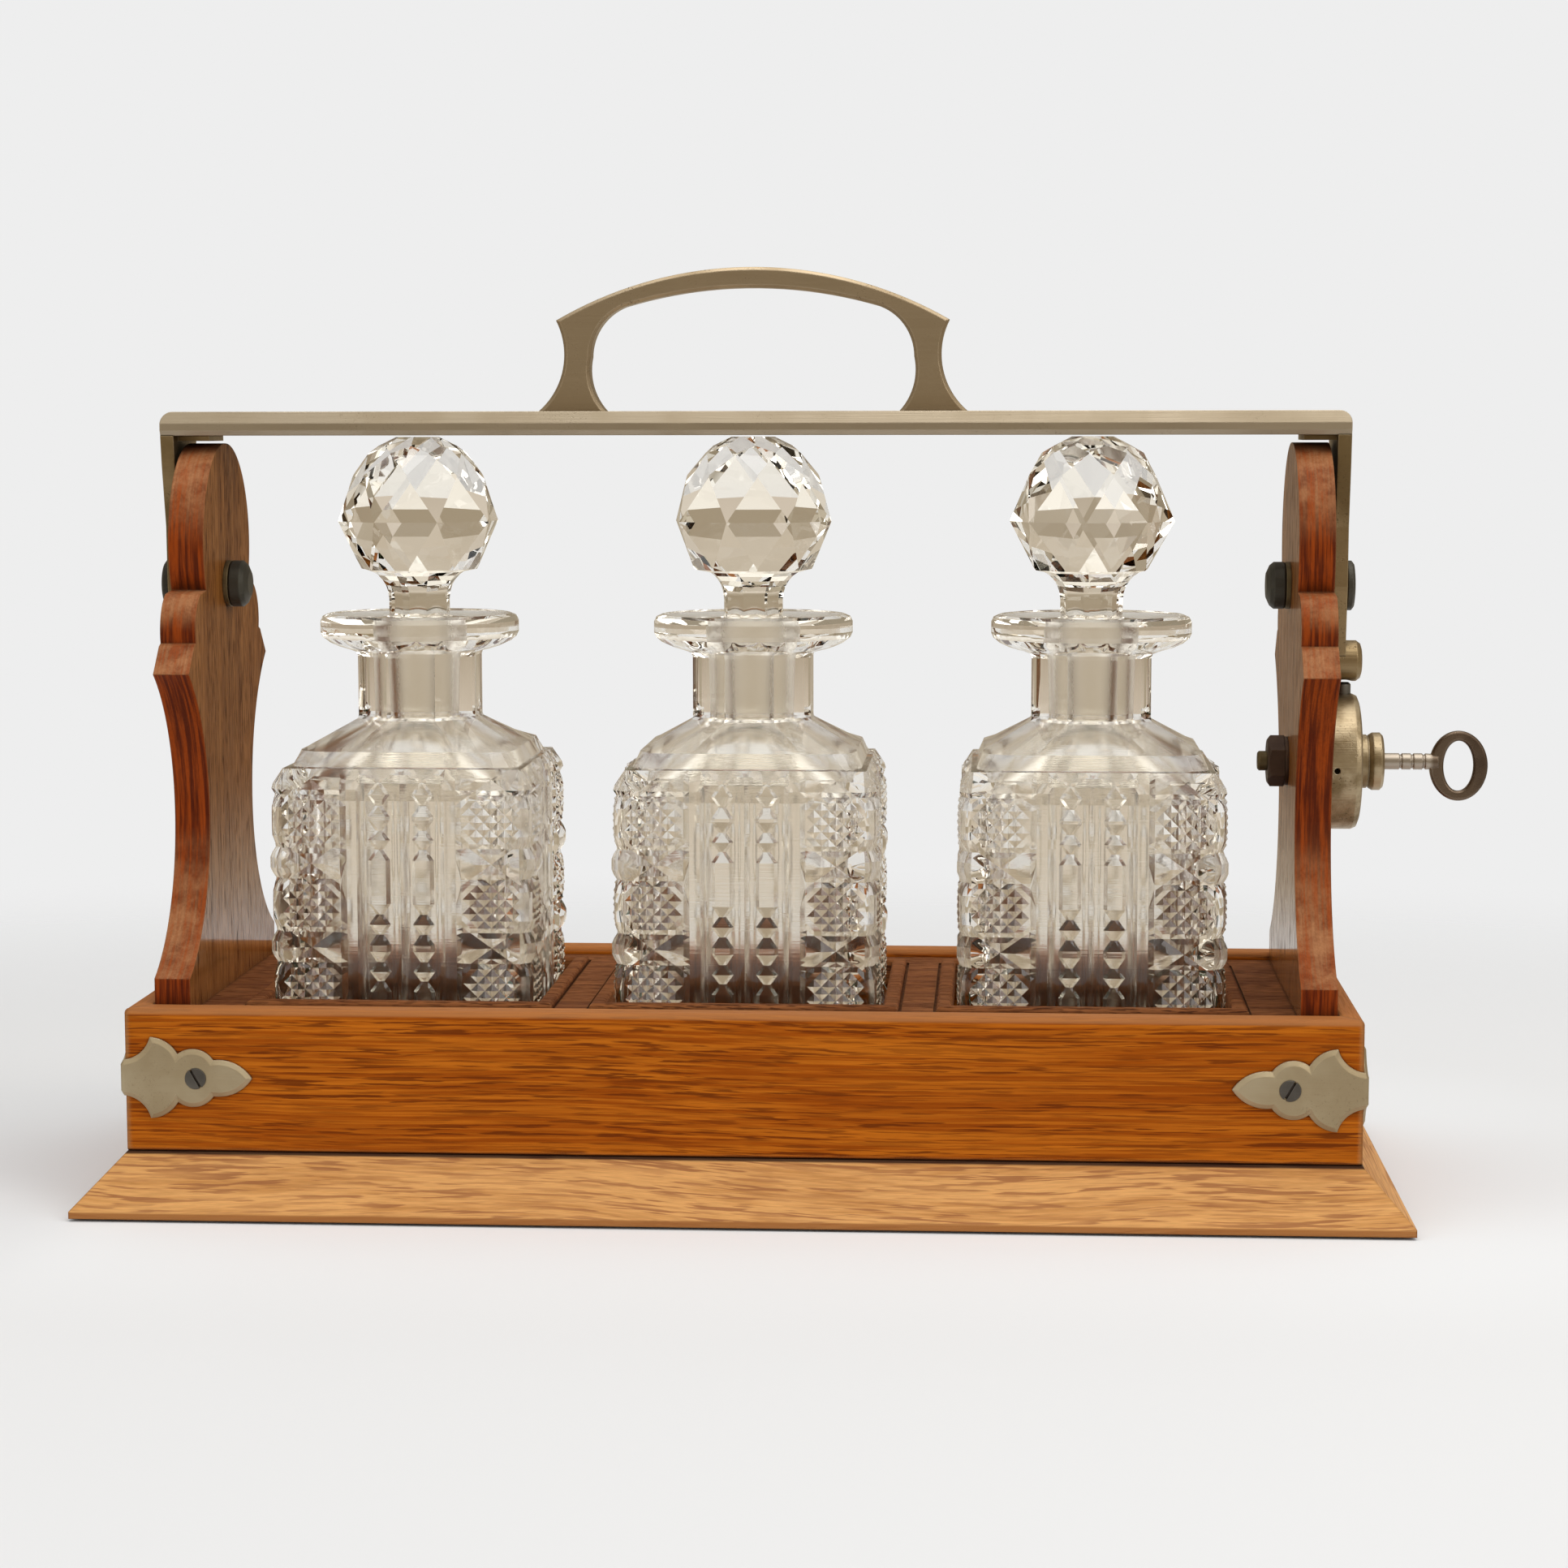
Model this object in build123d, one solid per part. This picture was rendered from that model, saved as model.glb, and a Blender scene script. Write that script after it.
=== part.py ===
from build123d import *
import math
import os

# Three-decanter tantalus. Millimetres; X to the right, Y to the back, Z up.
# The origin is on the surface it stands on, under the middle of the box.

# Box and plinth
BOX_WIDTH = 350.0
BOX_DEPTH = 130.0
BOX_HEIGHT = 41.2
RAIL_THICK_Y = 8.5
RAIL_THICK_X = 6.6
RAIL_ROUND = 1.3
RAIL_FOOT_ROUND = 0.8
BAIZE_THICK = 0.8
BAIZE_INSET = 4.0
PLINTH_TOP = 17.6
PLINTH_LIP_TOP = 2.8
PLINTH_BEVEL = 13.8
PLINTH_UNDERLAP = 20.0

# Deck, wells and their beads
DECK_THICK = 6.0
DECK_DROP = 2.5
WELL_PITCH = 100.0
BEAD_OUTER = 89.2
BEAD_WIDTH = 4.5
BEAD_RISE = 1.6
BEAD_ROUND = 1.3
GROOVE_WIDTH = 0.8
GROOVE_DEPTH = 0.6
DIVIDER_THICK = 10.0
PAD_SIZE = 84.0
PAD_THICK = 1.0

# Uprights
UPRIGHT_INNER_X = 158.0
FOOT_HALF_DEPTH = 56.3
FOOT_TOP = 66.0
WAIST_HALF = 28.2
WAIST_Z = 110.0
SHOULDER_HALF = 50.7
SHOULDER_Z = 153.0
HEAD_RADIUS = 30.0
HEAD_CENTRE_Z = 188.5
HEAD_FOOT_Z = 176.0
HEAD_ARC_TURN = math.radians(23)
LOBE_OUTER = (43.2, 160.6)
LOBE_CORNER = (41.2, 161.3)
LOBE_CURVE = (39.9, 170.3)
LOBE_TOP = (34.5, 175.2)

# Wood screws, as (head radius, shank radius), and their points' length
WOOD_SCREW = (3.6, 2.0)
HANDLE_SCREW = (3.2, 1.8)
SCREW_POINT = 4.0
UPRIGHT_SCREW_TOP = 45.0

# Pivots of the locking frame
PIVOT_Z = 176.7
PIVOT_RADIUS = 3.0
PIVOT_CLEARANCE = 0.05
PIVOT_HEAD_RADIUS = 7.3
PIVOT_HEAD_THICK = 2.6
PIVOT_NUT_RADIUS = 6.9
PIVOT_NUT_THICK = 3.4
PIVOT_NUT_CROWN = 2.2
PIVOT_WASHER_RADIUS = 7.0
PIVOT_WASHER_THICK = 1.6
INNER_WASHER_THICK = 1.4

# Locking frame: bar, arms and handle
BAR_LENGTH = 348.0
BAR_DEPTH = 30.0
BAR_BOTTOM = 220.8
BAR_TOP = 227.8
BAR_BEVEL_TALL = 3.5
BAR_BEVEL_DEEP = 1.8
BAR_END_ROUND = 3.4
BAR_UNDER_BEVEL = 1.5
ARM_INNER_X = 170.1
ARM_THICK = 3.9
ARM_FLANGE = 1.6
ARM_FLANGE_REACH = 9.5
ARM_HALF = 9.0
BOSS_Z = 154.6
BOSS_RADIUS = 6.0
BOSS_OUTER_X = 179.1
HANDLE_THICK = 8.0
HANDLE_TOP = 269.8
HANDLE_INNER_TOP = 263.8
HANDLE_FOOT_INNER = 43.3
HANDLE_FOOT_OUTER = 63.3
HANDLE_SHOULDER = (57.9, 254.4)
HANDLE_CHAMFER = 0.9
HANDLE_SCREW_TOP = BAR_TOP + 9.0

# Lock
LOCK_Z = 124.9
CASE_RADIUS = 20.0
CASE_OUTER_X = 178.3
CASE_WALL = 1.5
PEEP_RADIUS = 0.9
COLLAR_RADIUS = 8.5
COLLAR_OUTER_X = 185.7
PLUG_RADIUS = 5.5
PLUG_CLEARANCE = 0.06
CAM_RADIUS = 7.0
CRANK_RADIUS = 3.5
CRANK_PIN_RADIUS = 1.0
BOLT_THICK = 2.4
BOLT_PIN_RADIUS = 2.2
BOLT_X = 174.0
BOLT_HALF_WIDTH = 6.0
BOLT_RISE = 11.4
BOLT_DROP = 12.0
BOLT_GAP = 0.35
BOLT_SLIDE_CLEARANCE = 0.15
GUIDE_WIDTH = 2.6
GUIDE_HALF_HEIGHT = 11.0
PLATE_THICK = 1.5
CAM_THICK = 1.0
CAM_GAP = 0.2
CRANK_START = math.radians(-45)
SLOT_CLEARANCE = 0.25
STUD_RADIUS = 2.9
STUD_END_X = 149.2
LOCK_WASHER_RADIUS = 7.2
LOCK_WASHER_THICK = 1.0
LOCK_NUT_RADIUS = 7.6
LOCK_NUT_THICK = 5.0
KEY_RADIUS = 2.4
KEY_CLEARANCE = 0.08
KEY_RINGS_X = (190.6, 194.0, 197.4)
KEY_RING_WIDTH = 0.9
KEY_RING_DEPTH = 0.35
KEY_BOW_X = 208.0
KEY_BOW_HALF = 8.5
KEY_BOW_TALL = 10.3
KEY_BOW_WALL = 4.1
KEY_BOW_THICK = 3.0
KEY_BOW_DROP = 1.2
BIT_HALF_THICK = 0.8
BIT_LENGTH = 4.5
BIT_REACH = 4.4
BIT_CLEARANCE = 0.1

# Decanters and stoppers
GLASS_SIDE = 78.0
GLASS_BASE = 18.6
GLASS_WALL = 8.0
SHOULDER_START = 118.0
BODY_TOP = 124.6
BODY_TOP_SIDE = 70.0
BAND_BASE = 126.3
BAND_BASE_SIDE = 65.0
BAND_TOP = 130.6
BAND_TOP_SIDE = 61.0
NECK_BASE = 137.0
NECK_RADIUS = 18.5
LIP_BASE = 157.0
LIP_TOP = 168.0
LIP_RADIUS = 29.5
MOUTH_RADIUS = 9.4
MOUTH_TAPER = 1.0
PLUG_DEPTH = 29.0
PLUG_TOP = 166.0
STOPPER_CLEARANCE = 0.08
PANEL_HALF = 17.6
PANEL_DEPTH = 1.7
PANEL_BASE = 20.6
PANEL_TOP = 121.2
CINCH_Z = (48.0, 72.6, 97.2)
CINCH_HALF = 4.5
CINCH_DEPTH = 1.2
BALL_CENTRE = 195.5
BALL_TOP = 220.3
BALL_BOTTOM = 181.0
BALL_SIDES = 8
BALL_RINGS = (
    # facets' elevation in degrees, distance from the ball's centre, turned half a step
    (12.0, 21.96, False),
    (25.0, 22.02, True),
    (42.0, 23.6, False),
    (62.0, 24.7, True),
    (-19.0, 21.23, False),
    (-30.0, 21.04, True),
)

# Corner straps
STRAP_THICK = 1.4
STRAP_BEVEL = 0.8
STRAP_BEVEL_ANGLE = 60.0
STRAP_Z = 39.0
STRAP_SCREW_OFFSET = 20.4
STRAP_NECK_HALF = 5.2
STRAP_SCREW_HEAD = 3.0
STRAP_SCREW_SHANK = 1.4
STRAP_SCREW_LENGTH = 6.0
STRAP_SCREW_PROUD = 0.15
STRAP_SLOT_HALF = 0.35
STRAP_SLOT_DEPTH = 0.6
STRAP_SLOT_TILT = 60.0

# Values worked out from those above
BOX_TOP = PLINTH_TOP + BOX_HEIGHT
DECK_TOP = BOX_TOP - DECK_DROP
DECK_BOTTOM = DECK_TOP - DECK_THICK
RAIL_INNER_X = BOX_WIDTH / 2 - RAIL_THICK_X
RAIL_INNER_Y = BOX_DEPTH / 2 - RAIL_THICK_Y
PLINTH_WIDTH = BOX_WIDTH + 2 * PLINTH_BEVEL
PLINTH_DEPTH = BOX_DEPTH + 2 * PLINTH_BEVEL
PLINTH_RING = PLINTH_BEVEL + PLINTH_UNDERLAP
WELL_CENTRES = (-WELL_PITCH, 0.0, WELL_PITCH)
SCREW_X = (UPRIGHT_INNER_X + RAIL_INNER_X) / 2
SCREW_Y = 35.0
WASHER_OUTER_X = RAIL_INNER_X + PIVOT_WASHER_THICK
ARM_OUTER_X = ARM_INNER_X + ARM_THICK
PIVOT_HEAD_X = ARM_OUTER_X + 0.1
INNER_WASHER_X = UPRIGHT_INNER_X - INNER_WASHER_THICK
NUT_RIM_X = INNER_WASHER_X - PIVOT_NUT_THICK
NUT_CROWN_X = NUT_RIM_X - PIVOT_NUT_CROWN
HANDLE_SCREW_X = (HANDLE_FOOT_INNER + HANDLE_FOOT_OUTER) / 2
CASE_BACK_X = RAIL_INNER_X
PLATE_X = CASE_BACK_X + PLATE_THICK
CAM_X = BOLT_X + BOLT_THICK / 2 + CAM_GAP
CRANK_Y = -CRANK_RADIUS * math.cos(CRANK_START)
CRANK_Z = LOCK_Z + CRANK_RADIUS * math.sin(CRANK_START)
BOLT_TOP = BOSS_Z - BOSS_RADIUS - BOLT_GAP
LOCK_WASHER_X = UPRIGHT_INNER_X - LOCK_WASHER_THICK
LOCK_NUT_X = LOCK_WASHER_X - LOCK_NUT_THICK
BIT_START_X = CAM_X + 1.6


def block(x0, x1, y0, y1, z0, z1):
    """A box between two opposite corners."""
    centre = Pos((x0 + x1) / 2, (y0 + y1) / 2, (z0 + z1) / 2)
    return centre * Box(abs(x1 - x0), abs(y1 - y0), abs(z1 - z0))


def rod_x(radius, x0, x1, y, z):
    """A round bar along X."""
    return Pos((x0 + x1) / 2, y, z) * Rot(0, 90, 0) * Cylinder(radius, abs(x1 - x0))


def rod_z(radius, x, y, z0, z1):
    """A round bar along Z."""
    return Pos(x, y, (z0 + z1) / 2) * Cylinder(radius, abs(z1 - z0))


def turned(points, x=0.0):
    """A solid turned about the vertical line at x from (radius, z) points."""
    outline = make_face(Polyline(*points, close=True))
    return Pos(x, 0, 0) * revolve(Plane.XZ * outline, Axis.Z)


def turned_x(points, z):
    """A solid turned about the line Y=0 at height z from (x, radius) points."""
    outline = make_face(Polyline(*points, close=True))
    return Pos(0, 0, z) * revolve(Plane.XZ * outline, Axis.X)


def mirror_x(solid):
    return mirror(solid, Plane.YZ)


def slab_yz(outline, x0, x1):
    """Extrudes an outline drawn in (y, z) from x0 to x1."""
    return extrude(Plane.YZ.offset(x0) * outline, amount=x1 - x0)


def slab_xz(outline, thickness):
    """Extrudes an outline drawn in (x, z), half to each side of Y=0."""
    return extrude(Plane.XZ.offset(-thickness / 2) * outline, amount=thickness)


def save(node, *solids):
    """Writes one node, as one solid or as a group of separate ones."""
    shape = solids[0] if len(solids) == 1 else Compound(children=list(solids))
    export_step(shape, f"parts/{node}.step")


def mitred(ring, width, depth, ring_x, ring_y):
    """Cuts a rectangular ring into its front, back, left and right strips."""
    w, d = width / 2, depth / 2
    front = ((-w, -d), (w, -d), (w - ring_x, ring_y - d), (ring_x - w, ring_y - d))
    right = ((w, -d), (w, d), (w - ring_x, d - ring_y), (w - ring_x, ring_y - d))
    zones = {
        "front": front,
        "back": [(x, -y) for x, y in front],
        "left": [(-x, y) for x, y in right],
        "right": right,
    }
    strips = {}
    for side, corners in zones.items():
        zone = extrude(make_face(Polyline(*corners, close=True)), amount=2 * BOX_WIDTH)
        strips[side] = ring & (Pos(0, 0, -BOX_WIDTH) * zone)
    return strips


# ---------------------------------------------------------------- base and box


def countersunk(x, y, z0, z1, sizes):
    """A wood screw driven up from z0, as its solid and also as its hole."""
    head, shank = sizes
    profile = [(0, z0), (head, z0), (shank, z0 + head - shank), (shank, z1 - SCREW_POINT), (0, z1)]
    return Pos(x, y, 0) * turned(profile)


def upright_screw_places():
    return [(sx * SCREW_X, sy * SCREW_Y) for sx in (-1, 1) for sy in (-1, 1)]


def upright_screws():
    return [countersunk(x, y, BAIZE_THICK, UPRIGHT_SCREW_TOP, WOOD_SCREW)
            for x, y in upright_screw_places()]


def plinth_strips():
    """Bevelled moulding round the foot of the box, mitred at its corners."""
    lip = block(-PLINTH_WIDTH / 2, PLINTH_WIDTH / 2, -PLINTH_DEPTH / 2, PLINTH_DEPTH / 2,
                BAIZE_THICK, PLINTH_LIP_TOP)
    bevel = loft([
        Pos(0, 0, PLINTH_LIP_TOP) * Rectangle(PLINTH_WIDTH, PLINTH_DEPTH),
        Pos(0, 0, PLINTH_TOP) * Rectangle(BOX_WIDTH, BOX_DEPTH),
    ], ruled=True)
    ring = lip + bevel - base_board()
    strips = mitred(ring, PLINTH_WIDTH, PLINTH_DEPTH, PLINTH_RING, PLINTH_RING)
    for screw in upright_screws():
        strips["left"] -= screw
        strips["right"] -= screw
    return strips


def base_board():
    x = PLINTH_WIDTH / 2 - PLINTH_RING
    y = PLINTH_DEPTH / 2 - PLINTH_RING
    return block(-x, x, -y, y, BAIZE_THICK, PLINTH_TOP)


def base_baize():
    x = PLINTH_WIDTH / 2 - BAIZE_INSET
    y = PLINTH_DEPTH / 2 - BAIZE_INSET
    return block(-x, x, -y, y, 0, BAIZE_THICK)


def box_rails():
    """The four sides of the box, rounded along their top and outer bottom edges."""
    outer = block(-BOX_WIDTH / 2, BOX_WIDTH / 2, -BOX_DEPTH / 2, BOX_DEPTH / 2,
                  PLINTH_TOP, BOX_TOP)
    inner = block(-RAIL_INNER_X, RAIL_INNER_X, -RAIL_INNER_Y, RAIL_INNER_Y,
                  PLINTH_TOP, BOX_TOP)
    strips = mitred(outer - inner, BOX_WIDTH, BOX_DEPTH, RAIL_THICK_X, RAIL_THICK_Y)
    for side, strip in strips.items():
        length = Axis.X if side in ("front", "back") else Axis.Y
        rounded = fillet(strip.edges().filter_by(length).group_by(Axis.Z)[-1], RAIL_ROUND)
        feet = rounded.edges().filter_by(length).group_by(Axis.Z)[0]
        outer_foot = max(feet, key=lambda edge: abs(edge.center().X) + abs(edge.center().Y))
        strips[side] = fillet(outer_foot, RAIL_FOOT_ROUND)
    return strips


def deck():
    """The top board between the uprights, with a square hole for each well."""
    board = block(-UPRIGHT_INNER_X, UPRIGHT_INNER_X, -RAIL_INNER_Y, RAIL_INNER_Y,
                  DECK_BOTTOM, DECK_TOP)
    half = BEAD_OUTER / 2
    edge = half + GROOVE_WIDTH
    for x in WELL_CENTRES:
        board -= block(x - half, x + half, -half, half, DECK_BOTTOM, DECK_TOP)
        board -= block(x - edge, x + edge, -edge, edge, DECK_TOP - GROOVE_DEPTH, DECK_TOP)
    return board


def bead_frame(x):
    """Four mitred bead strips that line one well's mouth."""
    half = BEAD_OUTER / 2
    inner = half - BEAD_WIDTH
    ring = block(-half, half, -half, half, DECK_BOTTOM, DECK_TOP + BEAD_RISE)
    ring -= block(-inner, inner, -inner, inner, DECK_BOTTOM, DECK_TOP + BEAD_RISE)
    ring = fillet(ring.faces().sort_by(Axis.Z)[-1].edges(), BEAD_ROUND)
    strips = mitred(ring, BEAD_OUTER, BEAD_OUTER, BEAD_WIDTH, BEAD_WIDTH)
    return [Pos(x, 0, 0) * strip for strip in strips.values()]


def divider(x):
    half = DIVIDER_THICK / 2
    return block(x - half, x + half, -RAIL_INNER_Y, RAIL_INNER_Y, PLINTH_TOP, DECK_BOTTOM)


def well_pad(x):
    half = PAD_SIZE / 2
    return block(x - half, x + half, -half, half, PLINTH_TOP, PLINTH_TOP + PAD_THICK)


# -------------------------------------------------------------------- uprights


def arc_on(centre_y, centre_z, radius, start, end):
    """An arc about a centre, from start to end, through the middle of its angle."""
    a0 = math.atan2(start[1] - centre_z, start[0] - centre_y)
    a1 = math.atan2(end[1] - centre_z, end[0] - centre_y)
    a1 = a0 + math.remainder(a1 - a0, 2 * math.pi)
    half = (a0 + a1) / 2
    middle = (centre_y + radius * math.cos(half), centre_z + radius * math.sin(half))
    return ThreePointArc(start, middle, end)


def sweep_radius(corner_half, corner_z):
    """Radius of the hollow curve that is upright at the waist and ends at a corner."""
    run = corner_half - WAIST_HALF
    rise = corner_z - WAIST_Z
    return (run * run + rise * rise) / (2 * run)


def upright_half():
    """One side of the upright's outline, from its foot to the top of its head."""
    foot = (FOOT_HALF_DEPTH, FOOT_TOP)
    waist = (WAIST_HALF, WAIST_Z)
    shoulder = (SHOULDER_HALF, SHOULDER_Z)
    lower = sweep_radius(*foot)
    upper = sweep_radius(*shoulder)
    head_half = math.sqrt(HEAD_RADIUS ** 2 - (HEAD_CENTRE_Z - HEAD_FOOT_Z) ** 2)
    neck = (head_half, HEAD_FOOT_Z)
    flank = (HEAD_RADIUS * math.cos(HEAD_ARC_TURN),
             HEAD_CENTRE_Z + HEAD_RADIUS * math.sin(HEAD_ARC_TURN))
    return [
        Line((0, PLINTH_TOP), (FOOT_HALF_DEPTH, PLINTH_TOP)),
        Line((FOOT_HALF_DEPTH, PLINTH_TOP), foot),
        arc_on(WAIST_HALF + lower, WAIST_Z, lower, foot, waist),
        arc_on(WAIST_HALF + upper, WAIST_Z, upper, waist, shoulder),
        Line(shoulder, LOBE_OUTER),
        Line(LOBE_OUTER, LOBE_CORNER),
        ThreePointArc(LOBE_CORNER, LOBE_CURVE, LOBE_TOP),
        Line(LOBE_TOP, neck),
        ThreePointArc(neck, flank, (0, HEAD_CENTRE_Z + HEAD_RADIUS)),
    ]


def upright(side):
    """A shaped upright; side is -1 for the left one and 1 for the right one."""
    half = upright_half()
    outline = make_face(half + [mirror(edge, Plane.YZ) for edge in half])
    board = slab_yz(outline, UPRIGHT_INNER_X, RAIL_INNER_X)
    board -= rod_x(PIVOT_RADIUS, UPRIGHT_INNER_X, RAIL_INNER_X, 0, PIVOT_Z)
    if side > 0:
        board -= rod_x(STUD_RADIUS, UPRIGHT_INNER_X, RAIL_INNER_X, 0, LOCK_Z)
    else:
        board = mirror_x(board)
    for screw in upright_screws():
        board -= screw
    return board


# -------------------------------------------------------------- pivot hardware


def pivot_bolt():
    """Shoulder bolt through the right arm and upright, with a domed round head."""
    end = NUT_RIM_X + 0.4
    face = PIVOT_HEAD_X + PIVOT_HEAD_THICK
    return turned_x([
        (end, 0), (end, PIVOT_RADIUS), (PIVOT_HEAD_X, PIVOT_RADIUS),
        (PIVOT_HEAD_X, PIVOT_HEAD_RADIUS - 0.4), (PIVOT_HEAD_X + 0.4, PIVOT_HEAD_RADIUS),
        (face - 0.9, PIVOT_HEAD_RADIUS), (face - 0.2, PIVOT_HEAD_RADIUS - 0.9),
        (face, PIVOT_HEAD_RADIUS - 2.4), (face, 0),
    ], PIVOT_Z)


def pivot_washer():
    """Spacer between the upright and the arm."""
    ring = rod_x(PIVOT_WASHER_RADIUS, RAIL_INNER_X, WASHER_OUTER_X, 0, PIVOT_Z)
    return ring - rod_x(PIVOT_RADIUS, RAIL_INNER_X, WASHER_OUTER_X, 0, PIVOT_Z)


def inner_washer():
    """Washer under the round nut on the upright's inner face."""
    ring = rod_x(PIVOT_NUT_RADIUS, INNER_WASHER_X, UPRIGHT_INNER_X, 0, PIVOT_Z)
    return ring - rod_x(PIVOT_RADIUS, INNER_WASHER_X, UPRIGHT_INNER_X, 0, PIVOT_Z)


def pivot_nut():
    """Domed round nut that closes over the bolt's end."""
    nut = turned_x([
        (INNER_WASHER_X, 0), (INNER_WASHER_X, PIVOT_NUT_RADIUS - 0.5),
        (INNER_WASHER_X - 0.5, PIVOT_NUT_RADIUS), (NUT_RIM_X, PIVOT_NUT_RADIUS),
        (NUT_RIM_X - 1.2, PIVOT_NUT_RADIUS - 1.0), (NUT_CROWN_X, PIVOT_NUT_RADIUS - 3.2),
        (NUT_CROWN_X, 0),
    ], PIVOT_Z)
    return nut - rod_x(PIVOT_RADIUS, NUT_RIM_X + 0.4, INNER_WASHER_X, 0, PIVOT_Z)


# --------------------------------------------------------------- locking frame


def bar():
    """The flat bar over the stoppers, bevelled along both sides and round at its ends."""
    d = BAR_DEPTH / 2
    section = make_face(Polyline(
        (-d + BAR_UNDER_BEVEL / 2, BAR_BOTTOM), (d - BAR_UNDER_BEVEL / 2, BAR_BOTTOM),
        (d, BAR_BOTTOM + BAR_UNDER_BEVEL), (d, BAR_TOP - BAR_BEVEL_TALL),
        (d - BAR_BEVEL_DEEP, BAR_TOP), (BAR_BEVEL_DEEP - d, BAR_TOP),
        (-d, BAR_TOP - BAR_BEVEL_TALL), (-d, BAR_BOTTOM + BAR_UNDER_BEVEL), close=True))
    solid = slab_yz(section, -BAR_LENGTH / 2, BAR_LENGTH / 2)
    ends = solid.edges().filter_by(Axis.Y).group_by(Axis.Z)[-1]
    solid = fillet(ends, BAR_END_ROUND)
    for screw in handle_screws():
        solid -= screw
    return solid


def handle_screws():
    """Countersunk screws up through the bar into the handle's feet."""
    return [countersunk(x, 0, BAR_BOTTOM, HANDLE_SCREW_TOP, HANDLE_SCREW)
            for x in (-HANDLE_SCREW_X, HANDLE_SCREW_X)]


def arch(end, crown):
    """An arc over X=0 from the mirror of its end, through its crown's height."""
    return ThreePointArc((-end[0], end[1]), (0, crown), end)


def handle():
    """Flat cast handle: two flared legs and a shallow arch with pointed shoulders."""
    throat = (47.6, 243.7)
    inner_end = (37.4, 258.4)
    side = [
        Line((HANDLE_FOOT_INNER, BAR_TOP), (HANDLE_FOOT_OUTER, BAR_TOP)),
        ThreePointArc((HANDLE_FOOT_OUTER, BAR_TOP), (55.9, 240.5), HANDLE_SHOULDER),
        ThreePointArc((HANDLE_FOOT_INNER, BAR_TOP), (47.2, 234.5), throat),
        ThreePointArc(throat, (45.0, 252.3), inner_end),
    ]
    outer = arch(HANDLE_SHOULDER, HANDLE_TOP)
    inner = arch(inner_end, HANDLE_INNER_TOP)
    edges = side + [mirror(edge, Plane.YZ) for edge in side] + [outer, inner]
    solid = slab_xz(make_face(edges), HANDLE_THICK)
    rims = [edge for edge in solid.edges()
            if abs(abs(edge.center().Y) - HANDLE_THICK / 2) < 0.01
            and edge.center().Z > BAR_TOP + 0.01]
    solid = chamfer(rims, HANDLE_CHAMFER)
    for screw in handle_screws():
        solid -= screw
    return solid


def arm_blank(tail):
    """The right arm's plate, from an outline below the bar and a tail of (y, z) points."""
    side = [(14.5, BAR_BOTTOM), (13.2, 212.0), (9.4, 194.0), (ARM_HALF, PIVOT_Z)] + tail
    outline = make_face(Polyline(*side, *[(-y, z) for y, z in reversed(side)], close=True))
    plate = slab_yz(outline, ARM_INNER_X, ARM_OUTER_X)
    flange = block(ARM_INNER_X - ARM_FLANGE_REACH, ARM_INNER_X, -ARM_HALF, ARM_HALF,
                   BAR_BOTTOM - ARM_FLANGE, BAR_BOTTOM)
    bore = rod_x(PIVOT_RADIUS + PIVOT_CLEARANCE, ARM_INNER_X, ARM_OUTER_X, 0, PIVOT_Z)
    return plate + flange - bore


def arm_left():
    """Short arm, with a round end about the pivot."""
    turns = [math.radians(a) for a in range(10, 90, 10)]
    tail = [(ARM_HALF * math.cos(a), PIVOT_Z - ARM_HALF * math.sin(a)) for a in turns]
    return mirror_x(arm_blank(tail))


def arm_right():
    """Long arm, whose tail below the pivot carries the catch boss."""
    plate = arm_blank([(6.6, 163.0), (5.6, BOSS_Z)])
    return plate - rod_x(BOSS_RADIUS, ARM_INNER_X, ARM_OUTER_X, 0, BOSS_Z)


def catch_boss():
    """Round boss on the arm's tail, with the hole that the lock's bolt enters."""
    boss = turned_x([
        (ARM_INNER_X, 0), (ARM_INNER_X, BOSS_RADIUS), (BOSS_OUTER_X - 1.6, BOSS_RADIUS),
        (BOSS_OUTER_X - 0.4, BOSS_RADIUS - 0.9), (BOSS_OUTER_X, BOSS_RADIUS - 2.2),
        (BOSS_OUTER_X, 0),
    ], BOSS_Z)
    return boss - rod_z(BOLT_PIN_RADIUS + 0.3, BOLT_X, 0, BOSS_Z - BOSS_RADIUS - 1, BOSS_Z + 0.6)


# ------------------------------------------------------------------------ lock


def lock_case():
    """Round cap over the lock, open at the back, with ways for the plug and bolt."""
    inner = CASE_RADIUS - CASE_WALL
    front = CASE_OUTER_X - CASE_WALL
    shell = turned_x([
        (CASE_BACK_X, inner), (CASE_BACK_X, CASE_RADIUS), (CASE_OUTER_X - 1.8, CASE_RADIUS),
        (CASE_OUTER_X - 0.5, CASE_RADIUS - 0.6), (CASE_OUTER_X, CASE_RADIUS - 1.9),
        (CASE_OUTER_X, PLUG_RADIUS + PLUG_CLEARANCE), (front, PLUG_RADIUS + PLUG_CLEARANCE),
        (front, inner),
    ], LOCK_Z)
    shell -= rod_z(BOLT_PIN_RADIUS + BOLT_SLIDE_CLEARANCE, BOLT_X, 0, LOCK_Z + CASE_RADIUS / 2,
                   LOCK_Z + CASE_RADIUS + CASE_WALL)
    peep = Pos(CASE_BACK_X + 2.4, -CASE_RADIUS, LOCK_Z - 1) * Rot(90, 0, 0)
    peep *= Cylinder(PEEP_RADIUS, 4 * CASE_WALL)
    return shell - peep


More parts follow.
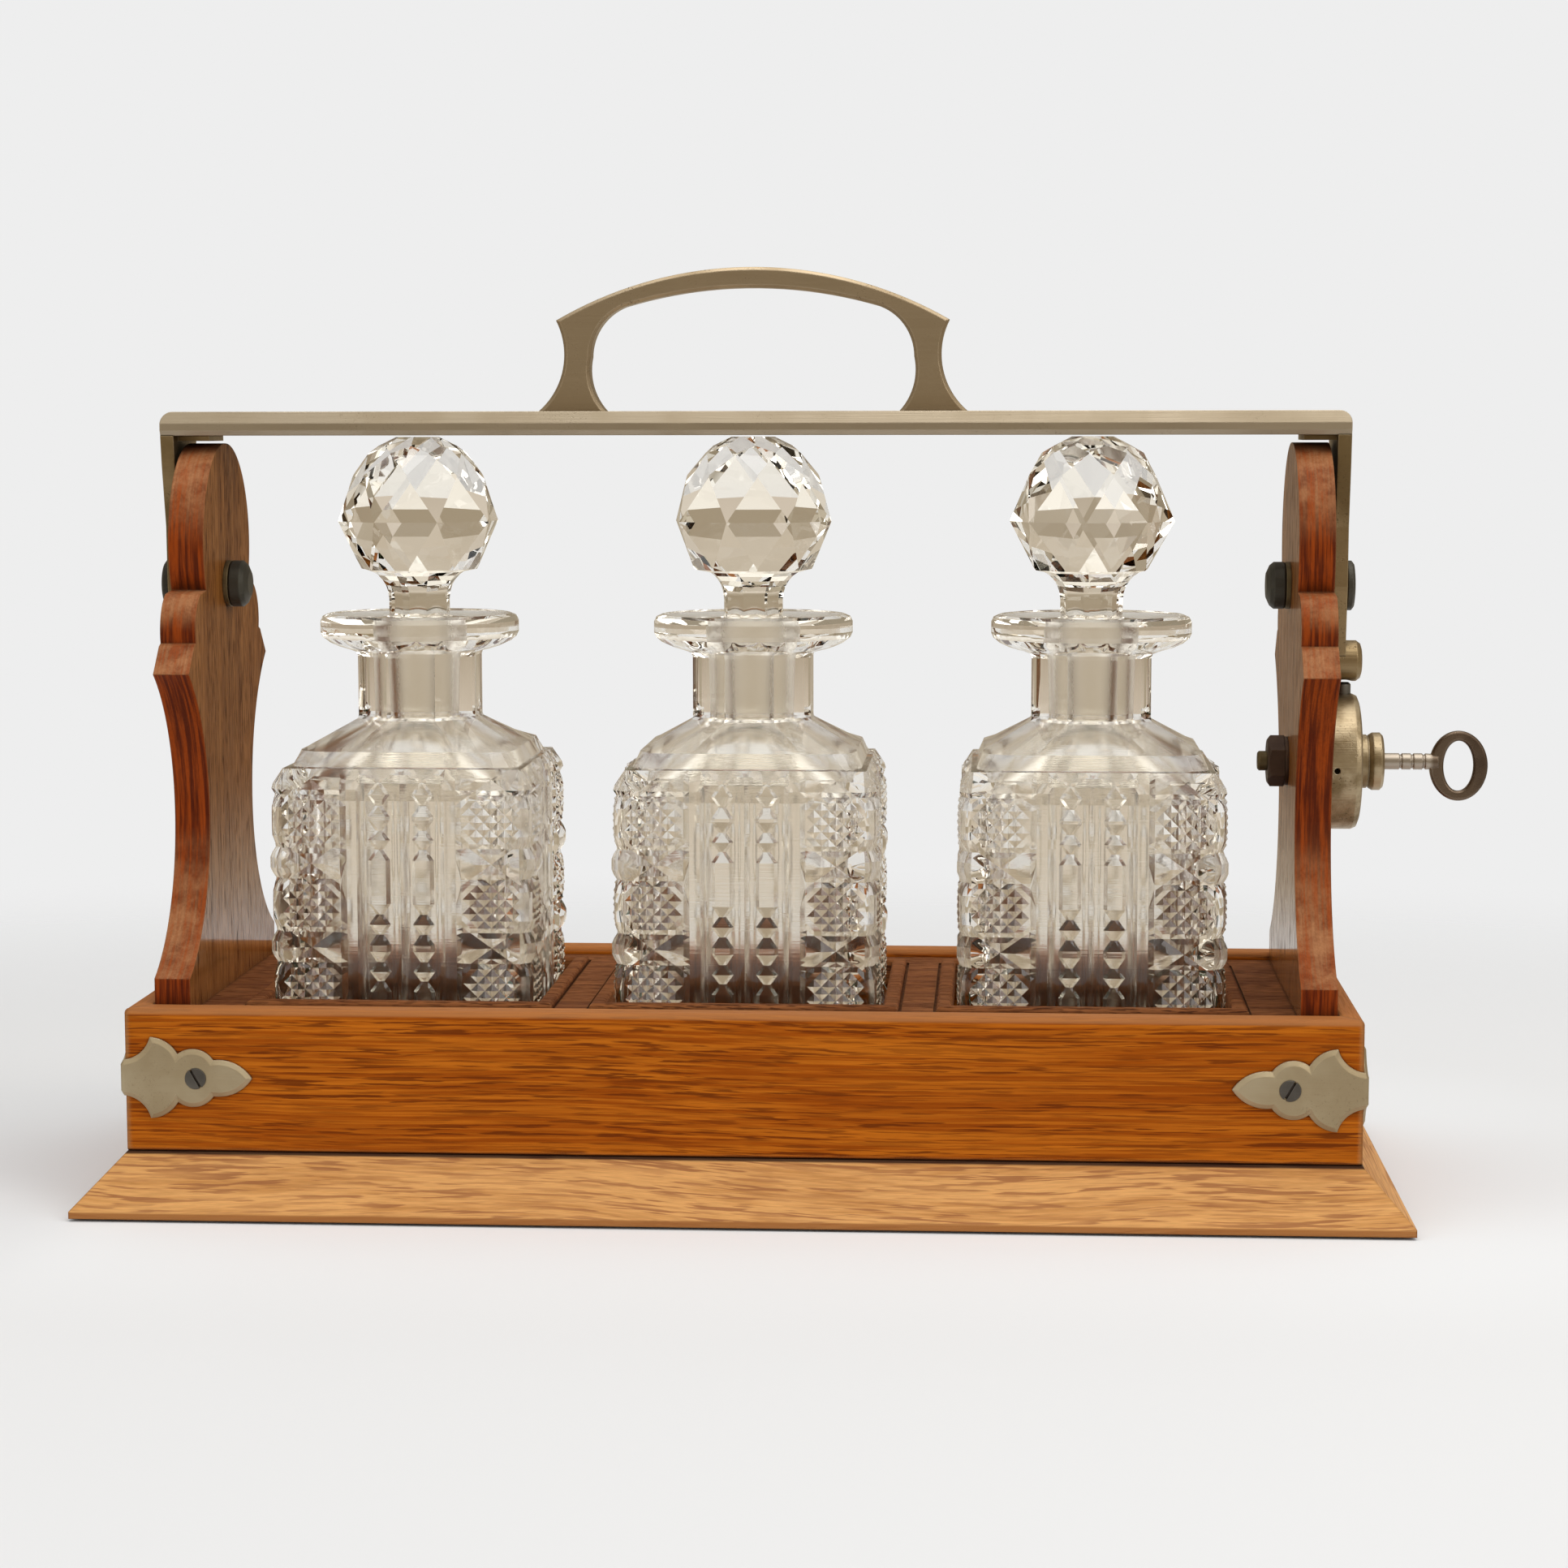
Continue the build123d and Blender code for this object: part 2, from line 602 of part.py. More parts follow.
def lock_plate():
    """Back plate inside the case, with two rails that guide the bolt."""
    radius = CASE_RADIUS - CASE_WALL
    plate = rod_x(radius, CASE_BACK_X, PLATE_X, 0, LOCK_Z)
    for side in (-1, 1):
        near = side * (BOLT_HALF_WIDTH + BOLT_SLIDE_CLEARANCE)
        far = near + side * GUIDE_WIDTH
        plate += block(PLATE_X, BOLT_X + BOLT_THICK / 2, near, far,
                       LOCK_Z - GUIDE_HALF_HEIGHT, LOCK_Z + GUIDE_HALF_HEIGHT)
    return plate - rod_x(STUD_RADIUS, CASE_BACK_X, PLATE_X, 0, LOCK_Z)


def lock_stud():
    """Threaded stud that draws the lock against the upright."""
    return turned_x([
        (STUD_END_X, 0), (STUD_END_X, STUD_RADIUS - 0.5), (STUD_END_X + 0.5, STUD_RADIUS),
        (PLATE_X, STUD_RADIUS), (PLATE_X, 0),
    ], LOCK_Z)


def lock_washer():
    ring = rod_x(LOCK_WASHER_RADIUS, LOCK_WASHER_X, UPRIGHT_INNER_X, 0, LOCK_Z)
    return ring - rod_x(STUD_RADIUS, LOCK_WASHER_X, UPRIGHT_INNER_X, 0, LOCK_Z)


def lock_nut():
    """Hexagon nut on the stud, its outer corners chamfered."""
    hexagon = Pos(LOCK_NUT_X, 0, LOCK_Z) * Rot(0, 90, 0) * RegularPolygon(LOCK_NUT_RADIUS, 6)
    nut = extrude(hexagon, amount=LOCK_NUT_THICK, dir=(1, 0, 0))
    rim = LOCK_NUT_RADIUS + 0.1
    crown = turned_x([
        (LOCK_WASHER_X, 0), (LOCK_WASHER_X, rim), (LOCK_NUT_X + 1.0, rim),
        (LOCK_NUT_X, rim - 1.4), (LOCK_NUT_X, 0),
    ], LOCK_Z)
    return (nut & crown) - rod_x(STUD_RADIUS, STUD_END_X, UPRIGHT_INNER_X, 0, LOCK_Z)


def lock_collar():
    """Turned collar in front of the case, that the plug turns in."""
    bore = PLUG_RADIUS + PLUG_CLEARANCE
    r = COLLAR_RADIUS
    x = CASE_OUTER_X
    return turned_x([
        (x, bore), (x, r - 0.6), (x + 2.6, r - 0.6), (x + 3.0, r - 1.0), (x + 3.4, r - 0.6),
        (x + 4.4, r), (COLLAR_OUTER_X - 0.8, r), (COLLAR_OUTER_X, r - 0.8),
        (COLLAR_OUTER_X, bore),
    ], LOCK_Z)


def key_bit(grow, end_x):
    """The key's bit, or with some growth the slot that it slides in."""
    half = BIT_HALF_THICK + grow
    return block(BIT_START_X - 2 * grow, end_x, -half, half, LOCK_Z - BIT_REACH - grow, LOCK_Z)


def lock_plug():
    """Plug that the key turns, with a cam disc and the crank pin that lifts the bolt."""
    plug = rod_x(PLUG_RADIUS, CAM_X + CAM_THICK, COLLAR_OUTER_X - 0.3, 0, LOCK_Z)
    cam = rod_x(CAM_RADIUS, CAM_X, CAM_X + CAM_THICK, 0, LOCK_Z)
    pin = rod_x(CRANK_PIN_RADIUS, BOLT_X - BOLT_THICK / 2, CAM_X, CRANK_Y, CRANK_Z)
    keyway = rod_x(KEY_RADIUS + KEY_CLEARANCE, BIT_START_X - 2 * BIT_CLEARANCE, COLLAR_OUTER_X,
                   0, LOCK_Z)
    return plug + cam + pin - keyway - key_bit(BIT_CLEARANCE, COLLAR_OUTER_X)


def lock_bolt():
    """Sliding plate with a cross slot for the crank pin and a round nose on top."""
    half = BOLT_THICK / 2
    top = LOCK_Z + BOLT_RISE
    plate = block(BOLT_X - half, BOLT_X + half, -BOLT_HALF_WIDTH, BOLT_HALF_WIDTH,
                  LOCK_Z - BOLT_DROP, top)
    reach = CRANK_PIN_RADIUS + 0.4
    slot_half = CRANK_PIN_RADIUS + SLOT_CLEARANCE
    plate -= block(BOLT_X - half, BOLT_X + half, -CRANK_RADIUS - reach, CRANK_Y + reach,
                   CRANK_Z - slot_half, CRANK_Z + slot_half)
    nose = turned([
        (0, top - 2), (BOLT_PIN_RADIUS, top - 2), (BOLT_PIN_RADIUS, BOLT_TOP - 0.6),
        (BOLT_PIN_RADIUS - 0.6, BOLT_TOP), (0, BOLT_TOP),
    ], BOLT_X)
    return plate + nose


def key_shank():
    """Round shank with three ringed grooves, from the bit to inside the bow."""
    end = KEY_BOW_X - KEY_BOW_HALF + 2.5
    groove = KEY_RADIUS - KEY_RING_DEPTH
    outline = [(BIT_START_X, 0), (BIT_START_X, KEY_RADIUS)]
    for x in KEY_RINGS_X:
        outline += [(x, KEY_RADIUS), (x + 0.2, groove), (x + KEY_RING_WIDTH - 0.2, groove),
                    (x + KEY_RING_WIDTH, KEY_RADIUS)]
    return turned_x(outline + [(end, KEY_RADIUS - 0.2), (end, 0)], LOCK_Z)


def key():
    """Barrel key: plain bit, ringed shank and an oval bow."""
    inner_half = KEY_BOW_HALF - KEY_BOW_WALL
    hole = Ellipse(inner_half, KEY_BOW_TALL - KEY_BOW_WALL + KEY_BOW_DROP)
    ring = Ellipse(KEY_BOW_HALF, KEY_BOW_TALL) - hole
    bow = slab_xz(Pos(KEY_BOW_X, LOCK_Z - KEY_BOW_DROP) * ring, KEY_BOW_THICK)
    bow = fillet(bow.edges(), 0.9)
    return key_shank() + bow + key_bit(0, BIT_START_X + BIT_LENGTH)


# ---------------------------------------------------------------------- glass


def faceted_ball():
    """A ball cut with rings of flat facets, meeting in an edge round its girdle."""
    ball = Pos(0, 0, BALL_CENTRE) * Box(GLASS_SIDE, GLASS_SIDE, GLASS_SIDE)
    for elevation, distance, staggered in BALL_RINGS:
        tilt = math.radians(elevation)
        for index in range(BALL_SIDES):
            turn = 2 * math.pi * (index + (0.5 if staggered else 0.0)) / BALL_SIDES
            normal = Vector(math.cos(tilt) * math.cos(turn), math.cos(tilt) * math.sin(turn),
                            math.sin(tilt))
            facet = Plane(Vector(0, 0, BALL_CENTRE) + normal * distance, z_dir=normal)
            ball = split(ball, bisect_by=facet, keep=Keep.BOTTOM)
    ball = split(ball, bisect_by=Plane.XY.offset(BALL_TOP), keep=Keep.BOTTOM)
    return split(ball, bisect_by=Plane.XY.offset(BALL_BOTTOM), keep=Keep.TOP)


def mouth_radius(z):
    """Radius of the ground mouth at height z: a slight cone, wider at the top."""
    return MOUTH_RADIUS - MOUTH_TAPER * (LIP_TOP - z) / PLUG_DEPTH


def stopper(x):
    """Faceted ball stopper with a waisted stem and a ground plug."""
    plug_end = LIP_TOP - PLUG_DEPTH
    low = mouth_radius(plug_end) - STOPPER_CLEARANCE
    high = mouth_radius(PLUG_TOP) - STOPPER_CLEARANCE
    stem = turned([
        (0, plug_end), (low, plug_end), (high, PLUG_TOP), (8.2, PLUG_TOP + 1), (8.0, 171.7),
        (8.2, 173.7), (9.6, 176.9), (12.4, 179.7), (14.8, 181.2), (14.8, 184.0), (0, 184.0),
    ])
    return Pos(x, 0, 0) * (stem + faceted_ball())


def glass_section(side, corner, z):
    return Pos(0, 0, z) * RectangleRounded(side, side, corner)


def cut_sides(body):
    """Recesses a panel in each of the body's sides and cinches the body between bosses."""
    face = -GLASS_SIDE / 2
    panel = block(-PANEL_HALF, PANEL_HALF, face - 1, face + PANEL_DEPTH, PANEL_BASE, PANEL_TOP)
    for quarter in range(4):
        body -= Rot(0, 0, 90 * quarter) * panel
    for z in CINCH_Z:
        base = z - CINCH_HALF
        cinch = extrude(glass_section(GLASS_SIDE + 2, 5, base), 2 * CINCH_HALF)
        cinch -= extrude(glass_section(GLASS_SIDE - 2 * CINCH_DEPTH, 5, base), 2 * CINCH_HALF)
        body -= cinch
    return body


def decanter(x):
    """Square decanter: sloping shoulder, eight-sided neck, wide lip, hollow inside."""
    outer = extrude(glass_section(GLASS_SIDE, 5, GLASS_BASE), SHOULDER_START - GLASS_BASE)
    steps = [glass_section(GLASS_SIDE, 5, SHOULDER_START),
             glass_section(BODY_TOP_SIDE, 5, BODY_TOP),
             glass_section(BAND_BASE_SIDE, 7, BAND_BASE),
             glass_section(BAND_TOP_SIDE, 9, BAND_TOP),
             Pos(0, 0, NECK_BASE) * Circle(NECK_RADIUS)]
    for lower, upper in zip(steps, steps[1:]):
        outer += loft([lower, upper])
    outer = cut_sides(outer)
    outer += extrude(Pos(0, 0, NECK_BASE) * Rot(0, 0, 22.5) * RegularPolygon(NECK_RADIUS, 8),
                     LIP_BASE + 1 - NECK_BASE)
    outer += turned([
        (0, LIP_BASE), (17.0, LIP_BASE), (20.0, 157.8), (27.6, 162.4), (LIP_RADIUS, 164.4),
        (LIP_RADIUS, 166.2), (28.6, 167.6), (27.2, LIP_TOP), (0, LIP_TOP),
    ])
    inside = GLASS_SIDE - 2 * GLASS_WALL
    cavity = extrude(glass_section(inside, 6, GLASS_BASE + GLASS_WALL),
                     SHOULDER_START - 2 - GLASS_BASE - GLASS_WALL)
    cavity += loft([glass_section(inside, 6, SHOULDER_START - 2),
                    Pos(0, 0, NECK_BASE) * Circle(mouth_radius(LIP_TOP - PLUG_DEPTH))])
    plug_end = LIP_TOP - PLUG_DEPTH
    cavity += turned([
        (0, NECK_BASE - 1), (mouth_radius(plug_end), NECK_BASE - 1),
        (mouth_radius(plug_end), plug_end), (mouth_radius(LIP_TOP), LIP_TOP), (0, LIP_TOP),
    ])
    return Pos(x, 0, 0) * (outer - cavity)


# --------------------------------------------------------------- corner straps


def strap_leaf_edges():
    """Half of a strap's leaf, as edges from inside the fold out to its point."""
    return [
        Line((-STRAP_THICK * 2, STRAP_NECK_HALF), (0, STRAP_NECK_HALF)),
        ThreePointArc((0, STRAP_NECK_HALF), (4.5, 7.3), (7.2, 11.7)),
        ThreePointArc((7.2, 11.7), (11.8, 10.3), (15.1, 6.9)),
        ThreePointArc((15.1, 6.9), (20.4, 8.3), (25.4, 5.2)),
        ThreePointArc((25.4, 5.2), (31.3, 4.4), (36.5, 0)),
    ]


def strap_leaf():
    """A flat leaf in X and Z with a bevelled rim; its back lies in Y=0."""
    half = strap_leaf_edges()
    start = -STRAP_THICK * 2
    closing = Line((start, STRAP_NECK_HALF), (start, -STRAP_NECK_HALF))
    outline = make_face(half + [mirror(edge, Plane.XZ) for edge in half] + [closing])
    flat = STRAP_THICK - STRAP_BEVEL
    leaf = extrude(Plane.XZ * outline, amount=flat)
    leaf += extrude(Plane.XZ.offset(flat) * outline, amount=STRAP_BEVEL, taper=STRAP_BEVEL_ANGLE)
    leaf &= block(0, 50, -STRAP_THICK, 0, -20, 20)
    return leaf - strap_screw()[0]


def strap_screw():
    """Slotted countersunk screw in a leaf's round lobe, and the slot to cut in it."""
    head, shank = STRAP_SCREW_HEAD, STRAP_SCREW_SHANK
    screw = turned([
        (0, -STRAP_SCREW_LENGTH), (shank, shank - STRAP_SCREW_LENGTH), (shank, shank - head - 0.1),
        (head, -0.1), (head, STRAP_SCREW_PROUD), (0, STRAP_SCREW_PROUD),
    ])
    screw = Pos(STRAP_SCREW_OFFSET, -STRAP_THICK, 0) * Rot(90, 0, 0) * screw
    slot = block(-head, head, -STRAP_THICK - 1, STRAP_SLOT_DEPTH - STRAP_THICK,
                 -STRAP_SLOT_HALF, STRAP_SLOT_HALF)
    return screw, Pos(STRAP_SCREW_OFFSET, 0, 0) * Rot(0, STRAP_SLOT_TILT, 0) * slot


def at_corner(shape, on_end, sign_x, sign_y):
    """Places a drawn leaf or screw on the front or end face at one of the box's corners."""
    if on_end:
        shape = Rot(0, 0, 90) * Rot(180, 0, 0) * shape
    shape = Pos(-BOX_WIDTH / 2, -BOX_DEPTH / 2, STRAP_Z) * shape
    if sign_x > 0:
        shape = mirror(shape, Plane.YZ)
    if sign_y > 0:
        shape = mirror(shape, Plane.XZ)
    return shape


def corner_strap(sign_x, sign_y):
    """A strap folded round one corner: a leaf on each face and a rounded fold."""
    rim = STRAP_NECK_HALF - STRAP_BEVEL * math.tan(math.radians(STRAP_BEVEL_ANGLE))
    flat = STRAP_THICK - STRAP_BEVEL
    fold = turned([(0, -STRAP_NECK_HALF), (flat, -STRAP_NECK_HALF), (STRAP_THICK, -rim),
                   (STRAP_THICK, rim), (flat, STRAP_NECK_HALF), (0, STRAP_NECK_HALF)])
    fold &= block(-STRAP_THICK, 0, -STRAP_THICK, 0, -STRAP_NECK_HALF, STRAP_NECK_HALF)
    leaf = strap_leaf()
    return (at_corner(leaf, False, sign_x, sign_y) + at_corner(leaf, True, sign_x, sign_y)
            + at_corner(fold, False, sign_x, sign_y))


def strap_screws():
    """Every strap screw as (solid with its slot, the hole it needs)."""
    screw, slot = strap_screw()
    places = [(end, sx, sy) for end in (False, True) for sx in (-1, 1) for sy in (-1, 1)]
    return [(at_corner(screw - slot, *place), at_corner(screw, *place)) for place in places]


# ------------------------------------------------------------------- write out


def write_base():
    save("base_baize", base_baize())
    save("base_board", base_board())
    for side, strip in plinth_strips().items():
        save(f"plinth_{side}", strip)
    save("upright_screws", *upright_screws())


def write_box():
    for side, rail in box_rails().items():
        for _, hole in strap_screws():
            rail -= hole
        save(f"box_{side}", rail)
    save("deck", deck())
    save("divider_left", divider(-WELL_PITCH / 2))
    save("divider_right", divider(WELL_PITCH / 2))
    for number, x in enumerate(WELL_CENTRES, start=1):
        save(f"bead_frame_{number}", *bead_frame(x))
        save(f"well_pad_{number}", well_pad(x))


def write_straps():
    corners = {"front_left": (-1, -1), "front_right": (1, -1),
               "back_left": (-1, 1), "back_right": (1, 1)}
    for place, signs in corners.items():
        save(f"corner_strap_{place}", corner_strap(*signs))
    save("strap_screws", *[screw for screw, _ in strap_screws()])


def write_uprights():
    save("upright_left", upright(-1))
    save("upright_right", upright(1))
    fittings = {"pivot_bolt": pivot_bolt(), "pivot_washer": pivot_washer(),
                "inner_washer": inner_washer(), "pivot_nut": pivot_nut()}
    for name, solid in fittings.items():
        save(f"{name}_right", solid)
        save(f"{name}_left", mirror_x(solid))


def write_frame():
    save("bar", bar())
    save("arm_left", arm_left())
    save("arm_right", arm_right())
    save("catch_boss", catch_boss())
    save("handle", handle())
    save("handle_screws", *handle_screws())


def write_lock():
    save("lock_case", lock_case())
    save("lock_plate", lock_plate())
    save("lock_stud", lock_stud())
    save("lock_washer", lock_washer())
    save("lock_nut", lock_nut())
    save("lock_collar", lock_collar())
    save("lock_plug", lock_plug())
    save("lock_bolt", lock_bolt())
    save("key", key())


def write_glass():
    for number, x in enumerate(WELL_CENTRES, start=1):
        save(f"decanter_{number}", decanter(x))
        save(f"stopper_{number}", stopper(x))


def main():
    os.makedirs("parts", exist_ok=True)
    write_base()
    write_box()
    write_straps()
    write_uprights()
    write_frame()
    write_lock()
    write_glass()


if __name__ == "__main__":
    main()
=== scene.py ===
import logging
import math
from collections.abc import Callable
from dataclasses import dataclass
from enum import Enum

import bmesh
import bpy
from mathutils import Matrix, Vector


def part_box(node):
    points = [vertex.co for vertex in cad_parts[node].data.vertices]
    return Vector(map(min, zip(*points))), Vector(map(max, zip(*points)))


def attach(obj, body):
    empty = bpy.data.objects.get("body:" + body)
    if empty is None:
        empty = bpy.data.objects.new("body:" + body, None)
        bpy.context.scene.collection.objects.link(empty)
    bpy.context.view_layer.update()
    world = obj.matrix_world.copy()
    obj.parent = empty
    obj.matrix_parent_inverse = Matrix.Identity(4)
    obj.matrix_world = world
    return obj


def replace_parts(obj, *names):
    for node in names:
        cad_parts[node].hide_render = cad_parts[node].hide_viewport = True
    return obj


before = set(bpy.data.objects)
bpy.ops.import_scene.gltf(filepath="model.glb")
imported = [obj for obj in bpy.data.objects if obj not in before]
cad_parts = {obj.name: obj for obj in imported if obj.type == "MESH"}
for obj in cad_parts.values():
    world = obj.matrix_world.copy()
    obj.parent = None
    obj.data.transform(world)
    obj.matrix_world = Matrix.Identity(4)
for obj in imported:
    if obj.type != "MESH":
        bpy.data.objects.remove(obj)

MM = 0.001
QUARTER, EIGHTH = math.pi / 2, math.pi / 4  # of a full turn, in radians
Colour = tuple[float, float, float]
Stops = tuple[tuple[float, Colour], ...]
Node, Socket, Tree = bpy.types.Node, bpy.types.NodeSocket, bpy.types.NodeTree
Material, Thing = bpy.types.Material, bpy.types.Object
Shape, Edges = bmesh.types.BMesh, list[bmesh.types.BMEdge]
MIX_FIRST, MIX_SECOND, MIX_COLOUR = 6, 7, 2  # the colour mix node's sockets
log = logging.getLogger("tantalus")


# ---- node graphs


class Graph:
    """A node tree with short calls that add its nodes and join them."""

    def __init__(self, tree: Tree) -> None:
        """Starts on a tree."""
        self.tree = tree

    def add(self, kind: str, **settings: object) -> Node:
        """Adds one node.

        Args:
            kind: The node's type name.
            settings: Properties to set on it.

        Returns:
            The new node.
        """
        node = self.tree.nodes.new(kind)
        for name, value in settings.items():
            setattr(node, name, value)
        return node

    def fill(self, node: Node, *values: object, **named: object) -> Node:
        """Sets inputs of a node, or joins sockets to them.

        Args:
            node: The node.
            values: Sockets or plain values for its first inputs, in order.
            named: The same for inputs by name, with underscores for spaces.

        Returns:
            The node.
        """
        by_name = {name.replace("_", " "): value for name, value in named.items()}
        for key, value in (*enumerate(values), *by_name.items()):
            if isinstance(value, Socket):
                self.tree.links.new(value, node.inputs[key])
            else:
                node.inputs[key].default_value = value
        return node

    def math(self, operation: str, *values: object) -> Socket:
        """One step of arithmetic on sockets or numbers."""
        return self.fill(self.add("ShaderNodeMath", operation=operation), *values).outputs[0]

    def vector(self, operation: str, *values: object) -> Socket:
        """One step of vector arithmetic; a length and a dot product are plain values."""
        node = self.fill(self.add("ShaderNodeVectorMath", operation=operation), *values)
        return node.outputs["Value" if operation in ("LENGTH", "DOT_PRODUCT") else "Vector"]

    def split(self, vector: Socket) -> bpy.types.NodeOutputs:
        """Takes a vector apart into the sockets of its three axes."""
        return self.fill(self.add("ShaderNodeSeparateXYZ"), vector).outputs

    def join(self, *axes: object) -> Socket:
        """Puts a vector together from sockets or numbers."""
        return self.fill(self.add("ShaderNodeCombineXYZ"), *axes).outputs[0]

    def stretch(self, vector: Socket, scale: Colour, turn: Colour = (0.0, 0.0, 0.0)) -> Socket:
        """Scales a coordinate along its axes and turns it about them, in radians."""
        node = self.add("ShaderNodeMapping")
        return self.fill(node, Vector=vector, Scale=scale, Rotation=turn).outputs[0]

    def noise(self, vector: Socket, scale: object, detail: float = 3.0, roughness: float = 0.5
              ) -> Socket:
        """A noise value.

        Args:
            vector: The coordinate that it reads.
            scale: Its scale, or a scale for each axis.
            detail: Its number of octaves.
            roughness: How strong the fine octaves are.

        Returns:
            The value's socket.
        """
        if isinstance(scale, tuple):
            vector, scale = self.stretch(vector, scale), 1.0
        node = self.add("ShaderNodeTexNoise")
        self.fill(node, Vector=vector, Scale=scale, Detail=detail, Roughness=roughness)
        return node.outputs["Fac"]

    def ease(self, value: Socket, low: float, high: float,
             to_low: float = 0.0, to_high: float = 1.0) -> Socket:
        """Maps a value smoothly from the range low to high onto another."""
        node = self.add("ShaderNodeMapRange", interpolation_type="SMOOTHSTEP")
        return self.fill(node, value, low, high, to_low, to_high).outputs[0]

    def ramp(self, value: object, stops: Stops) -> Socket:
        """Looks a colour up along a row of colour stops.

        Args:
            value: Where to look, from 0 to 1.
            stops: Each stop's place and colour, in order.

        Returns:
            The colour's socket.
        """
        node = self.add("ShaderNodeValToRGB")
        row = node.color_ramp.elements
        for place, (position, colour) in enumerate(stops):
            stop = row[place] if place < 2 else row.new(position)
            stop.position = position
            stop.color = opaque(colour)
        return self.fill(node, value).outputs[0]

    def blend(self, share: object, first: object, second: object, how: str = "MIX") -> Socket:
        """Mixes two colours.

        Args:
            share: How much of the second shows.
            first: The first colour.
            second: The second colour.
            how: The blend type.

        Returns:
            The colour's socket.
        """
        node = self.fill(self.add("ShaderNodeMix", data_type="RGBA", blend_type=how), share)
        for input_place, colour in ((MIX_FIRST, first), (MIX_SECOND, second)):
            if isinstance(colour, tuple):
                node.inputs[input_place].default_value = opaque(colour)
            else:
                self.tree.links.new(colour, node.inputs[input_place])
        return node.outputs[MIX_COLOUR]

    def group(self, tree: Tree, **values: object) -> Node:
        """Places a shared effect and sets its inputs by name."""
        return self.fill(self.add("ShaderNodeGroup", node_tree=tree), **values)

    def relief(self, shader: Node, **inputs: object) -> None:
        """Gives a shader fine relief from the Bump node's inputs."""
        self.fill(shader, Normal=self.fill(self.add("ShaderNodeBump"), **inputs).outputs[0])

    def see_through(self, shader: Node, share: Socket, tint: Colour = (1.0, 1.0, 1.0)) -> None:
        """Lets a share of the light pass straight through a material.

        Args:
            shader: The material's shader.
            share: How much passes.
            tint: The colour that it takes on.
        """
        clear = self.fill(self.add("ShaderNodeBsdfTransparent"), opaque(tint)).outputs[0]
        both = self.fill(self.add("ShaderNodeMixShader"), share, shader.outputs[0], clear)
        self.fill(self.tree.nodes["Material Output"], both.outputs[0])


def opaque(colour: Colour) -> tuple[float, float, float, float]:
    """Gives a colour its alpha."""
    return (*colour, 1.0)


def start_group(name: str, inputs: dict[str, float | None],
                outputs: tuple[str, ...]) -> tuple[Graph, Node, Node]:
    """Starts a shader node group.

    Args:
        name: The group's name.
        inputs: Its value inputs with their defaults; None makes a vector input.
        outputs: Its value outputs.

    Returns:
        The group's graph, its input node and its output node.
    """
    tree = bpy.data.node_groups.new(name, "ShaderNodeTree")
    for label, default in inputs.items():
        kind = "NodeSocketVector" if default is None else "NodeSocketFloat"
        socket = tree.interface.new_socket(label, in_out="INPUT", socket_type=kind)
        if default is not None:
            socket.default_value = default
    for label in outputs:
        kind = "NodeSocketVector" if label == "Normal" else "NodeSocketFloat"
        tree.interface.new_socket(label, in_out="OUTPUT", socket_type=kind)
    graph = Graph(tree)
    return graph, graph.add("NodeGroupInput"), graph.add("NodeGroupOutput")


# ---- shared effects


